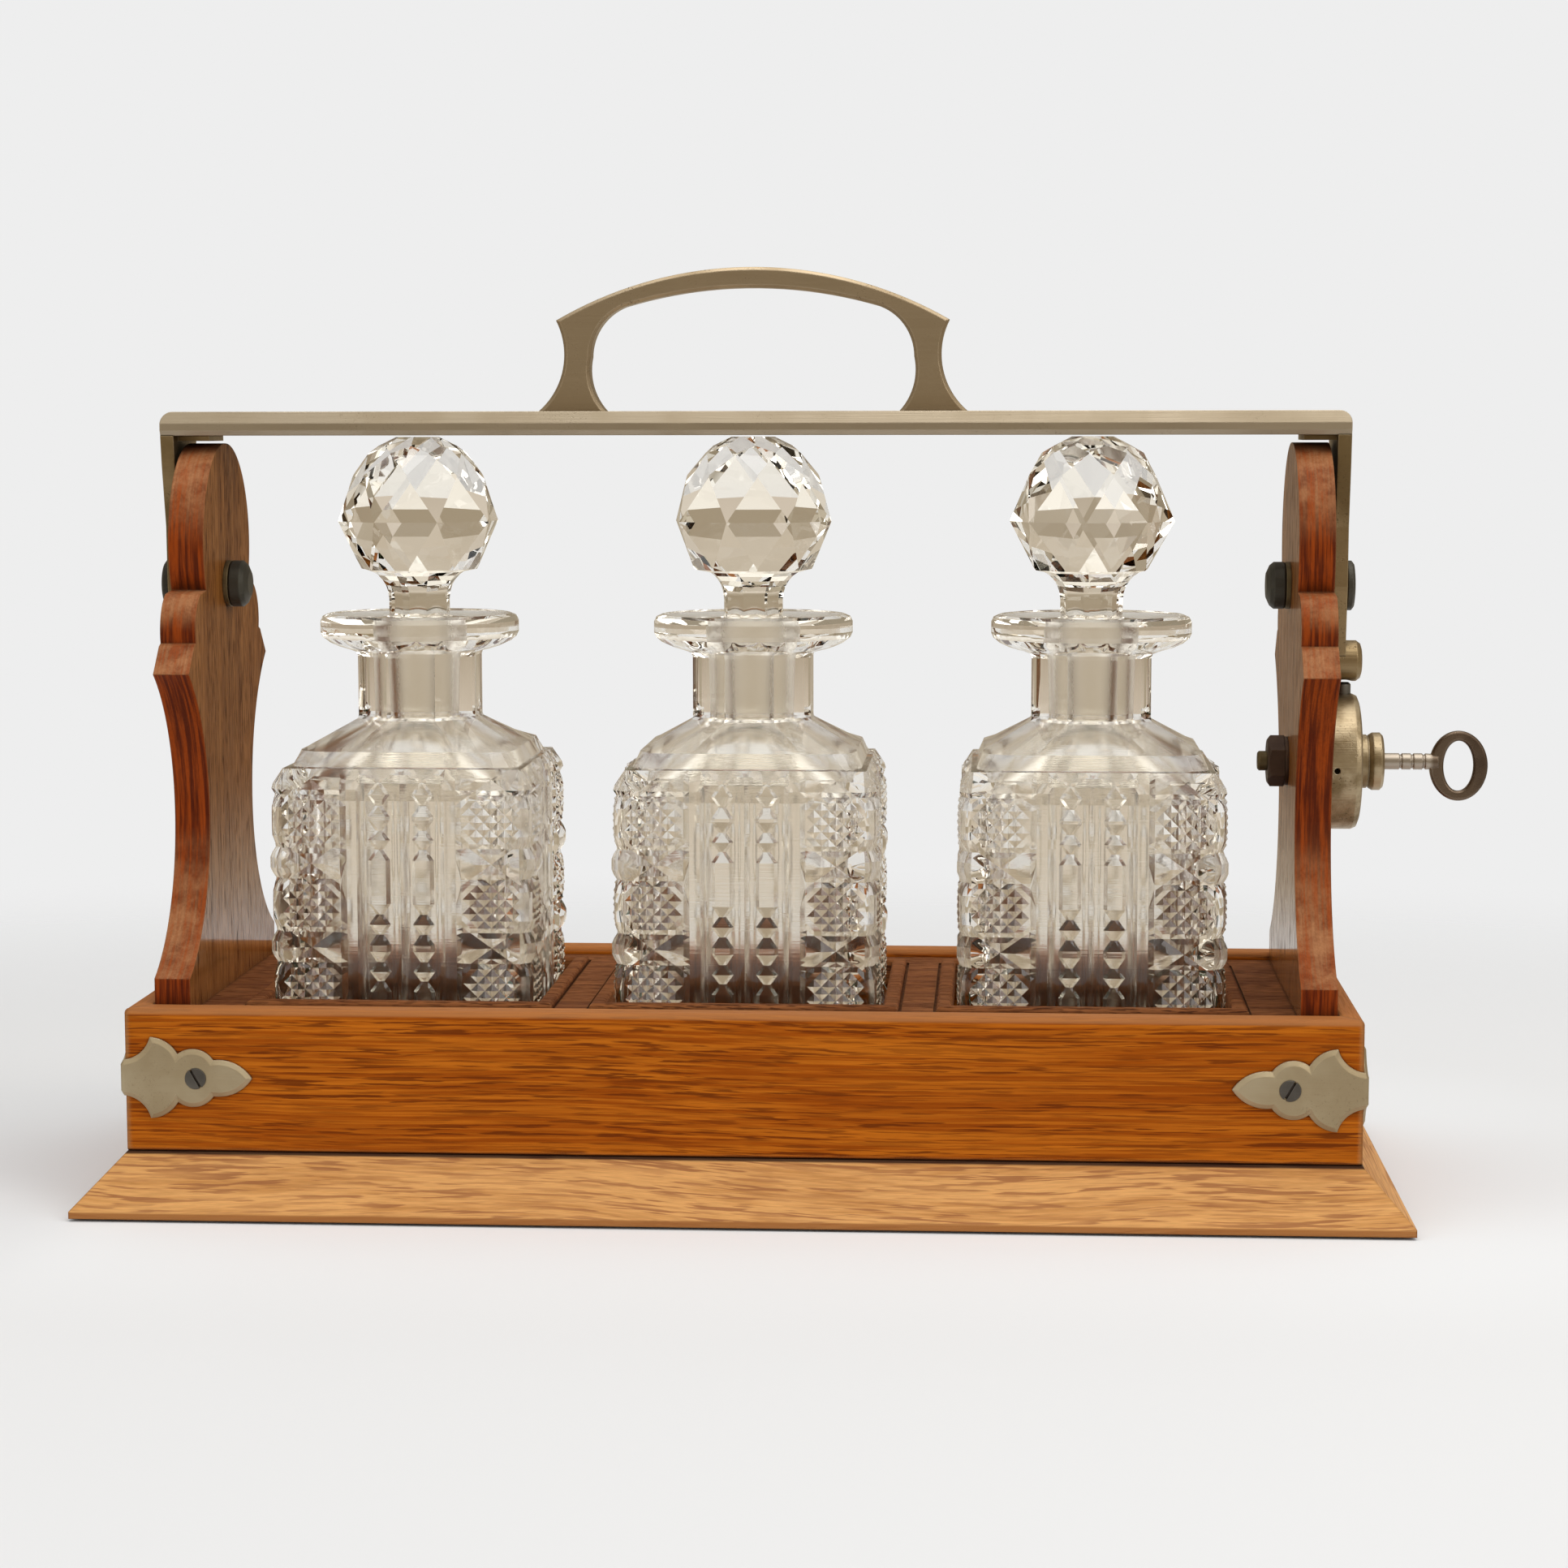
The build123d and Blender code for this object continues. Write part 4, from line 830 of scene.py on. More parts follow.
@dataclass
class Fittings:
    """The locking frame, straps, pivots, lock and key."""

    effects: Effects

    def metal(self, name: str, *nodes: str, **looks: object) -> None:
        """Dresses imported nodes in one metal."""
        dress(Metal(name, **looks).build(self.effects), *nodes)

    def plated(self) -> None:
        """Dresses the nickel-plated parts."""
        self.metal("nickel_satin", "bar", body=(0.40, 0.333, 0.245), dull=(0.38, 0.313, 0.223),
                   pit=(0.08, 0.05, 0.022), edge=(0.70, 0.62, 0.49), gloss=0.36,
                   pit_share=0.35, wear=0.9)
        self.metal("nickel_pitted", "handle", body=(0.395, 0.312, 0.21),
                   dull=(0.34, 0.26, 0.165), pit=(0.08, 0.05, 0.022), edge=(0.70, 0.62, 0.49),
                   pit_share=0.9)
        self.metal("nickel_tarnished", "arm_left", "arm_right", "catch_boss",
                   body=(0.31, 0.225, 0.12), dull=(0.19, 0.13, 0.06), pit=(0.06, 0.04, 0.016),
                   edge=(0.60, 0.50, 0.34), gloss=0.36, pit_share=0.9, wear=0.8, relief=0.0002)
        self.metal("nickel_aged", "lock_case", "lock_collar", body=(0.44, 0.35, 0.225),
                   dull=(0.235, 0.17, 0.09), pit=(0.05, 0.035, 0.014), edge=(0.70, 0.60, 0.44),
                   gloss=0.32, pit_share=1.0, wear=0.8, relief=0.0003, blotches=130.0)
        corners = ("front_left", "front_right", "back_left", "back_right")
        self.metal("nickel_strap", *(f"corner_strap_{corner}" for corner in corners),
                   body=(0.47, 0.39, 0.26), dull=(0.40, 0.32, 0.20), pit=(0.10, 0.065, 0.03),
                   edge=(0.66, 0.57, 0.42), gloss=0.42, pit_share=0.25, wear=0.7)

    def dark(self) -> None:
        """Dresses the pivots, washers, nuts, lock stud, screws and lock bolt."""
        sides = ("left", "right")
        self.metal("steel_bronzed", *(f"pivot_bolt_{side}" for side in sides),
                   *(f"pivot_nut_{side}" for side in sides), body=(0.075, 0.07, 0.055),
                   dull=(0.04, 0.036, 0.027), pit=(0.10, 0.055, 0.025), edge=(0.20, 0.18, 0.14),
                   gloss=0.42, metallic=0.7, relief=0.0003)
        self.metal("brass_tarnished", *(f"pivot_washer_{side}" for side in sides),
                   *(f"inner_washer_{side}" for side in sides), "lock_stud",
                   body=(0.17, 0.125, 0.06), dull=(0.10, 0.07, 0.03), pit=(0.05, 0.03, 0.015),
                   edge=(0.32, 0.26, 0.15), gloss=0.42, metallic=0.8)
        self.metal("iron_browned", "lock_nut", "lock_washer", body=(0.085, 0.045, 0.024),
                   dull=(0.045, 0.022, 0.012), pit=(0.03, 0.012, 0.006), edge=(0.20, 0.13, 0.08),
                   gloss=0.4, metallic=0.6)
        self.metal("steel_screw", "strap_screws", "upright_screws", "handle_screws", "lock_bolt",
                   body=(0.17, 0.16, 0.14), dull=(0.09, 0.08, 0.07), pit=(0.05, 0.03, 0.02),
                   edge=(0.32, 0.30, 0.26), gloss=0.4)

    def lock(self) -> None:
        """Dresses the lock's brass works and its steel key."""
        self.metal("brass_plain", "lock_plug", "lock_plate", body=(0.50, 0.38, 0.18),
                   dull=(0.33, 0.24, 0.10), pit=(0.10, 0.06, 0.03), edge=(0.66, 0.52, 0.28))
        shank = Level(0.15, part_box("key")[1].x - 0.0165, (0.46, 0.40, 0.33), share=0.8,
                      soft=0.0008, axis=0)
        self.metal("key_worn_steel", "key", body=(0.165, 0.12, 0.085), dull=(0.075, 0.05, 0.034),
                   pit=(0.05, 0.022, 0.012), edge=(0.50, 0.45, 0.40), gloss=0.32,
                   pit_share=0.8, wear=0.8, levels=(shank,))

    def build(self) -> None:
        """Dresses every fitting."""
        self.plated()
        self.dark()
        self.lock()


# ---- cut glass


class Skin(Enum):
    """Which of a glass piece's materials its faces take."""

    POLISHED = 0
    GROUND = 1
    INSIDE = 2


@dataclass(frozen=True)
class Station:
    """One ring of the decanter above or inside its cut body.

    A ring is a rounded square when sides is 0, and otherwise has that many flutes.
    """

    z: float
    reach: float
    sides: int = 0
    corner: float = 6.0
    hollow: float = 0.0
    skin: Skin = Skin.POLISHED


@dataclass(frozen=True)
class Cutting:
    """The cut pattern of one half of a side, as depths below the glass's outer face.

    u runs from the side's middle to its corner and z up, both in millimetres.
    """

    half: float = 39.0
    corner: float = 5.0
    foot_z: float = 20.2
    taper_z: float = 118.8
    point_z: float = 120.9
    top_z: float = 124.6
    top_inset: float = 4.0
    ridge: float = 12.8
    flute: float = 6.4
    last_ridge: float = 17.6
    ridge_depth: float = 1.0
    flute_depth: float = 1.15
    bead_ends: tuple[float, ...] = (120.5, 114.1, 106.9, 101.3, 82.3, 76.4, 68.3, 62.7,
                                    43.7, 38.6, 33.4, 28.2, 23.0)
    bead_waist: float = 0.3
    bead_ramp: float = 3.1
    bead_step: float = 1.067
    boss_u: float = 26.4
    boss_z: float = 109.5
    boss_pitch: float = 24.6
    boss_radius: float = 7.8
    cell: float = 2.1
    star_cell: float = 1.5
    diamond_depth: float = 0.95
    star_depth: float = 1.7
    notch_depth: float = 2.6
    tip_depth: float = 1.1
    swell_depth: float = 0.15
    frame_depth: float = 0.9
    dome: float = 0.4
    star_rise: float = 0.55
    level_rise: float = 1.2
    star_least: float = 0.1
    point_drop: float = 3.2
    tip_rise: float = 1.4
    near: float = 0.01

    @property
    def last_cell(self) -> float:
        """Where the bosses' column ends along u."""
        return self.boss_u + 4 * self.cell

    @property
    def corner_u(self) -> float:
        """Where the middle of the corner's arc lies along u."""
        return self.half - self.corner + self.corner * EIGHTH

    def hollow(self, share: float) -> float:
        """Share of a hollow flute's depth at a share of its width."""
        return 1.0 - (2.0 * share - 1.0) ** 2

    def bead(self, off: float, z: float) -> float:
        """How high the chain of beads stands above the flute's floor.

        Each bead is narrow and low at its ends and widest in its middle.

        Args:
            off: The distance from the chain's middle line.
            z: The height.

        Returns:
            The height above the floor.
        """
        for high, low in zip(self.bead_ends, self.bead_ends[1:]):
            if low <= z <= high:
                ramp = min(self.bead_ramp, (high - low) / 2)
                share = min(min(z - low, high - z) / ramp, 1.0)
                crown = self.bead_waist + (self.flute_depth - self.bead_waist) * share
                past = max(off - 2 * self.bead_step * share, 0.0)
                return crown * max(1.0 - past / self.bead_step, 0.0)
        return 0.0

    def fluted(self, u: float, z: float) -> float:
        """Depth in the panel of flutes and bead chains.

        Args:
            u: The distance from the side's middle.
            z: The height.

        Returns:
            The depth in millimetres.
        """
        if u > self.ridge:
            share = (u - self.ridge) / (self.last_ridge - self.ridge)
            return self.ridge_depth + self.flute_depth * self.hollow(share * 0.5)
        side = min(u, self.ridge - u)
        floor = self.flute_depth * self.hollow(min(side / self.flute, 0.5))
        return self.ridge_depth + floor - self.bead(abs(u - self.flute), z)

    def boss_place(self, z: float) -> float:
        """Height above the middle of the nearest round boss."""
        return (z - self.boss_z + self.boss_pitch / 2) % self.boss_pitch - self.boss_pitch / 2

    def diamonds(self, v: float, w: float) -> float:
        """Depth of the crossed cuts on a boss.

        Args:
            v: The distance from the boss's middle along the side.
            w: The height above its middle.

        Returns:
            The depth in millimetres.
        """
        pitch = 2 * self.cell
        near = min(abs((a + self.cell) - pitch * round((a + self.cell) / pitch))
                   for a in (v + w, v - w))
        dome = self.dome * (v * v + w * w) / self.boss_radius ** 2
        return dome + self.diamond_depth * (1.0 - near / self.cell)

    def star(self, v: float, w: float) -> float:
        """Depth of the star between two bosses: a long cross and two level cuts.

        Args:
            v: The distance from the boss's middle along the side.
            w: The height above its middle.

        Returns:
            The depth in millimetres.
        """
        from_star = self.boss_pitch / 2 - abs(w)
        slope = self.star_cell / self.cell
        run = math.hypot(1.0, slope)
        cross = min(abs(from_star - slope * v), abs(from_star + slope * v)) / run
        level = abs(abs(w) - self.boss_radius)
        rise = self.star_rise * min(cross, level * self.level_rise)
        return max(self.star_depth - rise, self.star_least)

    def boss(self, u: float, z: float) -> float:
        """Depth in the column of bosses and stars.

        Args:
            u: The distance from the side's middle.
            z: The height.

        Returns:
            The depth in millimetres.
        """
        v, w = u - self.boss_u, self.boss_place(z)
        if math.hypot(v, w) <= self.boss_radius:
            return self.diamonds(v, w)
        return max(self.star(v, w), self.frame_depth if abs(w) < self.boss_radius else 0.0)

    def edge(self, z: float) -> float:
        """Depth along the corner: a swelling at each boss and a point between two notches.

        Args:
            z: The height.

        Returns:
            The depth in millimetres.
        """
        w = abs(self.boss_place(z))
        if w <= self.boss_radius:
            deeper = self.notch_depth - self.swell_depth
            return self.swell_depth + deeper * (w / self.boss_radius) ** 4
        share = (w - self.boss_radius) / (self.boss_pitch / 2 - self.boss_radius)
        rise = min(self.tip_rise * share, 1.0)
        return self.notch_depth + (self.tip_depth - self.notch_depth) * rise

    def depth(self, u: float, z: float) -> float:
        """Depth anywhere on the half side.

        Args:
            u: The distance from the side's middle.
            z: The height.

        Returns:
            The depth in millimetres.
        """
        last = self.last_cell
        if u <= self.last_ridge:
            depth = self.fluted(u, z)
        elif u <= last + self.near:
            depth = self.boss(u, z)
        else:
            share = (u - last) / (self.corner_u - last)
            depth = self.boss(last, z) * (1.0 - share) + self.edge(z) * share
        return self.finish(u, z, depth)

    def finish(self, u: float, z: float, depth: float) -> float:
        """Runs the pattern out into the sloping cuts under the top edge.

        Args:
            u: The distance from the side's middle.
            z: The height.
            depth: The pattern's own depth.

        Returns:
            The depth with the slope taken off.
        """
        start = self.taper_z
        if u <= self.ridge:
            start = self.point_z + self.point_drop * abs((u / self.flute) % 2.0 - 1.0)
        if z > start:
            share = (z - start) / (self.top_z - start)
            depth = max(depth, depth + (self.top_inset - depth) * share)
        return min(depth, self.top_inset)

    def columns(self) -> list[float]:
        """Every upright line of the half side's mesh.

        Returns:
            The lines' places along u.
        """
        inside = [self.flute * turn + self.flute * share / 6
                  for turn in (0, 1) for share in range(1, 7)]
        outer = [self.ridge + (self.last_ridge - self.ridge) * share / 3 for share in (1, 2, 3)]
        cells = [self.boss_u + self.cell * step for step in range(-4, 5)]
        arc = [self.last_cell + (self.corner_u - self.last_cell) * share / 3 for share in (1, 2)]
        return inside + outer + cells + arc

    def bead_rows(self) -> list[float]:
        """Every level line of the flutes, at the beads' ends, middles and creases.

        Returns:
            The lines' heights.
        """
        rows = [self.bead_ends[0], self.point_z, self.point_z + 1.1, self.point_z + 2.2,
                self.taper_z]
        for high, low in zip(self.bead_ends, self.bead_ends[1:]):
            ramp = min(self.bead_ramp, (high - low) / 2)
            rows += [low, low + ramp / 2, low + ramp, high - ramp, high - ramp / 2]
        return rows

    def boss_rows(self) -> list[float]:
        """Every level line of the bosses, stars and corners.

        Returns:
            The lines' heights.
        """
        offsets = [self.cell * step for step in (0, 1, 2, 3)] + [self.boss_radius]
        offsets += [self.boss_pitch / 2 - self.star_cell * step for step in (0, 1, 2)]
        rows = []
        for number in range(-1, 5):
            centre = self.boss_z - self.boss_pitch * number
            for offset in offsets:
                rows += [centre - offset, centre + offset]
        return rows + [self.taper_z]


@dataclass
class Decanter:
    """A square cut-glass decanter, drawn about its own axis and moved to its well."""

    number: int
    materials: list[Material]
    cutting: Cutting = Cutting()
    base_z: float = 18.6
    mouth_radius: float = 9.4
    plug_end: float = 139.0
    lip_top: float = 168.0
    slope_shares: tuple[float, ...] = (0.2, 0.45, 0.7, 0.88)
    fan_dip: float = 0.55
    margin: float = 0.25
    least_gap: float = 0.12
    least_bend: float = 0.004

    def cut_lines(self, bm: Shape, rows: list[float], low: float, high: float, level: bool
                  ) -> None:
        """Cuts the flat sheet along straight lines.

        Args:
            bm: The sheet.
            rows: Where the lines lie.
            low: The lowest u of the faces to cut.
            high: Their highest u.
            level: True for level lines and False for upright ones.
        """
        c = self.cutting
        bottom, top = (c.foot_z, c.top_z) if level else (low, high)
        wanted = sorted({round(row, 3) for row in rows
                         if bottom + self.margin < row < top - self.margin})
        kept = [row for place, row in enumerate(wanted)
                if place == 0 or row - wanted[place - 1] > self.least_gap]
        for row in kept:
            faces = [f for f in bm.faces if low < f.calc_center_median().x < high]
            around = faces + list({e for f in faces for e in f.edges})
            around += list({v for f in faces for v in f.verts})
            spot, way = ((0, row, 0), (0, 1, 0)) if level else ((row, 0, 0), (1, 0, 0))
            bmesh.ops.bisect_plane(bm, geom=around, dist=0.001, plane_co=spot, plane_no=way)

    def crease(self, bm: Shape) -> None:
        """Splits each four-sided face along the diagonal that its relief folds on.

        Args:
            bm: The flat sheet.
        """
        depth = self.cutting.depth
        for face in list(bm.faces):
            corners = list(face.verts)
            if len(corners) != 4:
                continue
            a, b, c, d = (depth(v.co.x, v.co.y) for v in corners)
            if abs(a + c - b - d) < self.least_bend:
                continue
            spot = face.calc_center_median()
            true = depth(spot.x, spot.y)
            first, second = abs((a + c) / 2 - true), abs((b + d) / 2 - true)
            ends = (corners[0], corners[2]) if first <= second else (corners[1], corners[3])
            bmesh.utils.face_split(face, *ends)
        bent = [f for f in bm.faces if len(f.verts) > 4]
        bmesh.ops.triangulate(bm, faces=bent)

    def half_side(self) -> Shape:
        """Draws half of one side flat and folds it round to the corner.

        Returns:
            The half side as an open sheet.
        """
        c = self.cutting
        bm = bmesh.new()
        bmesh.ops.create_grid(bm, x_segments=1, y_segments=1, size=0.5)
        bmesh.ops.translate(bm, vec=(0.5, 0.5, 0), verts=bm.verts)
        bmesh.ops.scale(bm, vec=(c.corner_u, c.top_z - c.foot_z, 1), verts=bm.verts)
        bmesh.ops.translate(bm, vec=(0, c.foot_z, 0), verts=bm.verts)
        self.cut_lines(bm, c.columns(), 0.0, c.corner_u, level=False)
        self.cut_lines(bm, c.bead_rows(), 0.0, c.last_ridge, level=True)
        self.cut_lines(bm, c.boss_rows(), c.last_ridge, c.corner_u, level=True)
        self.crease(bm)
        for vert in bm.verts:
            vert.co = self.fold(vert.co.x, vert.co.y)
        return bm

    def fold(self, u: float, z: float) -> Vector:
        """Places a point of the flat half side on the decanter.

        Args:
            u: The distance from the side's middle.
            z: The height.

        Returns:
            The point, with the cut's depth taken off.
        """
        c = self.cutting
        depth = c.depth(u, z)
        start = c.half - c.corner
        if u <= start:
            return Vector((u, depth - c.half, z))
        turn = (u - start) / c.corner
        reach = c.corner - depth
        return Vector((start + reach * math.sin(turn), -start - reach * math.cos(turn), z))

    def body(self) -> Shape:
        """Repeats the half side round the decanter, as one welded wall.

        Returns:
            The wall, open at its top and foot.
        """
        bm = self.half_side()
        bmesh.ops.mirror(bm, geom=whole(bm), axis="X", merge_dist=0.01)
        bmesh.ops.spin(bm, geom=whole(bm), cent=(0, 0, 0), axis=(0, 0, 1),
                       angle=3 * QUARTER, steps=3, use_duplicate=True)
        bmesh.ops.remove_doubles(bm, verts=bm.verts, dist=0.02)
        return bm

    def square_reach(self, turn: float, half: float, corner: float) -> float:
        """Distance from the axis to a rounded square.

        Args:
            turn: The angle from a side's middle, up to a corner's.
            half: Half the square's side.
            corner: Its corner radius.

        Returns:
            The distance along that angle.
        """
        flat = half - corner
        if math.tan(abs(turn)) * half <= flat:
            return half / math.cos(turn)
        across = flat * (math.sin(abs(turn)) + math.cos(turn))
        return across + math.sqrt(across * across - 2 * flat * flat + corner * corner)

    def fluted_reach(self, turn: float, station: Station) -> float:
        """Distance from the axis to a ring of flats or hollow flutes.

        Args:
            turn: The angle from a side's middle.
            station: The ring.

        Returns:
            The distance along that angle.
        """
        step = 2 * math.pi / station.sides
        off = turn - step * round(turn / step)
        share = off / (step / 2)
        flat = station.reach * math.cos(step / 2) / math.cos(off)
        return flat - station.hollow * (1 - share * share)

    def ring_point(self, angle: float, station: Station) -> Vector:
        """The point of a ring at one angle about the axis.

        Args:
            angle: The angle of the vertex on the body's top edge.
            station: The ring.

        Returns:
            The point.
        """
        side = round(angle / QUARTER) * QUARTER
        turn = angle - side
        if station.sides == 0:
            reach = self.square_reach(turn, station.reach, station.corner)
        else:
            c = self.cutting
            bend = math.atan(c.last_ridge / (c.half - c.top_inset))
            if abs(turn) <= bend:
                turn = turn * (EIGHTH / 2) / bend
            else:
                rest = (abs(turn) - bend) / (EIGHTH - bend)
                turn = math.copysign(EIGHTH / 2 + rest * (EIGHTH / 2), turn)
            reach = self.fluted_reach(turn, station)
        way = side + turn
        return Vector((reach * math.cos(way), reach * math.sin(way), station.z))

    def shoulder(self) -> list[Station]:
        """Rings over the ledge and the steep band under the shoulder."""
        return [Station(124.9, 33.4, corner=7.0), Station(129.2, 31.6, corner=9.5)]

    def neck(self) -> list[Station]:
        """Rings up the neck, round the thick lip and down the ground mouth.

        Returns:
            The rings, in order.
        """
        lip, mouth = self.lip_top, self.mouth_radius
        # height, reach, sides and hollow of each ring
        rows = ((137.0, 19.2, 8, 0.1), (137.8, 18.9, 8, 0.25), (147.0, 18.9, 8, 0.3),
                (155.6, 18.9, 8, 0.25), (156.8, 19.3, 8, 0.15), (157.6, 21.4, 24, 0.0),
                (158.5, 24.4, 24, 0.1), (159.8, 27.2, 24, 0.1), (161.2, 28.9, 48, 0.05),
                (162.6, 29.5, 96, 0.0), (165.9, 29.5, 96, 0.0), (167.3, 28.8, 96, 0.0),
                (lip, 27.2, 96, 0.0), (lip - 0.7, 23.5, 96, 0.0), (lip - 1.3, 17.0, 96, 0.0),
                (lip - 1.2, 12.0, 96, 0.0), (lip - 0.9, mouth + 0.5, 96, 0.0),
                (lip - 1.5, mouth, 96, 0.0))
        rings = [Station(z, reach, sides, hollow=hollow) for z, reach, sides, hollow in rows]
        return rings + [Station(self.plug_end, mouth - 1.0, 96, skin=Skin.GROUND)]

    def cavity(self) -> list[Station]:
        """Rings down the inside, from the throat to the floor.

        Returns:
            The rings, in order.
        """
        bore = self.mouth_radius - 1.0
        throat = [Station(z, reach, 96, skin=Skin.INSIDE)
                  for z, reach in ((137.6, bore), (136.0, bore + 0.7))]
        # height, reach and corner radius of each square ring
        rows = ((132.0, 14.0, 11.0), (126.0, 22.5, 12.0), (120.0, 29.0, 11.0),
                (115.0, 31.0, 9.0), (30.0, 31.0, 8.0), (27.3, 29.3, 8.0), (26.6, 25.0, 7.0))
        return throat + [Station(z, reach, corner=corner, skin=Skin.INSIDE)
                         for z, reach, corner in rows]

    def foot(self) -> list[Station]:
        """Rings under the wall, in to a flat base with a shallow punt.

        Returns:
            The rings, in order.
        """
        # rise above the base, reach and corner radius of each ring
        rows = ((0.9, 37.2, 6.0), (0.0, 36.0, 6.0), (0.0, 32.0, 6.0), (1.0, 28.0, 8.0))
        return [Station(self.base_z + rise, reach, corner=corner) for rise, reach, corner in rows]

    def open_rim(self, bm: Shape, upper: bool) -> Edges:
        """Finds an open rim of the wall and notes its points' angles about the axis.

        Args:
            bm: The wall.
            upper: True for the rim at its top and False for the one at its foot.

        Returns:
            The rim's edges.
        """
        turn = bm.verts.layers.float["turn"]
        half_way = (self.cutting.foot_z + self.cutting.top_z) / 2
        rim = [e for e in bm.edges if e.is_boundary and (e.verts[0].co.z > half_way) == upper]
        for vert in {v for edge in rim for v in edge.verts}:
            vert[turn] = math.atan2(vert.co.y, vert.co.x)
        return rim

    def run(self, bm: Shape, rim: Edges, stations: list[Station]) -> Edges:
        """Extrudes an open rim from ring to ring.

        Args:
            bm: The shape.
            rim: The rim's edges.
            stations: The rings, in order.

        Returns:
            The last rim's edges.
        """
        turn = bm.verts.layers.float["turn"]
        for station in stations:
            rim = pull(bm, rim, lambda vert, s=station: self.ring_point(vert[turn], s),
                       station.skin.value)
        return rim

    def slope_point(self, angle: float, share: float) -> Vector:
        """A point on the sloping shoulder, which is cut in eight hollow fans.

        Args:
            angle: The point's angle about the axis.
            share: How far up the slope it lies, from 0 to 1.

        Returns:
            The point.
        """
        low = self.ring_point(angle, self.shoulder()[-1])
        high = self.ring_point(angle, self.neck()[0])
        way = math.atan2(high.y, high.x)
        off = (way - EIGHTH * round(way / EIGHTH)) / (EIGHTH / 2)
        dip = self.fan_dip * (1 - off * off) * math.sin(math.pi * share)
        point = low.lerp(high, share)
        inward = Vector((-math.cos(way), -math.sin(way), -1.2)).normalized()
        return point + inward * dip

    def build(self) -> Thing:
        """Makes the decanter as one closed piece.

        Returns:
            The piece.
        """
        bm = self.body()
        turn = bm.verts.layers.float.new("turn")
        rim = self.run(bm, self.open_rim(bm, upper=True), self.shoulder())
        for share in self.slope_shares:
            rim = pull(bm, rim, lambda vert, k=share: self.slope_point(vert[turn], k),
                       Skin.POLISHED.value)
        rim = self.run(bm, rim, self.neck() + self.cavity())
        for face in bmesh.ops.contextual_create(bm, geom=rim)["faces"]:
            face.material_index = Skin.INSIDE.value
        rim = self.run(bm, self.open_rim(bm, upper=False), self.foot())
        bmesh.ops.contextual_create(bm, geom=rim)
        bmesh.ops.triangulate(bm, faces=[f for f in bm.faces if len(f.verts) > 4])
        return stand_glass(bm, f"decanter_{self.number}", self.materials, 15.0)


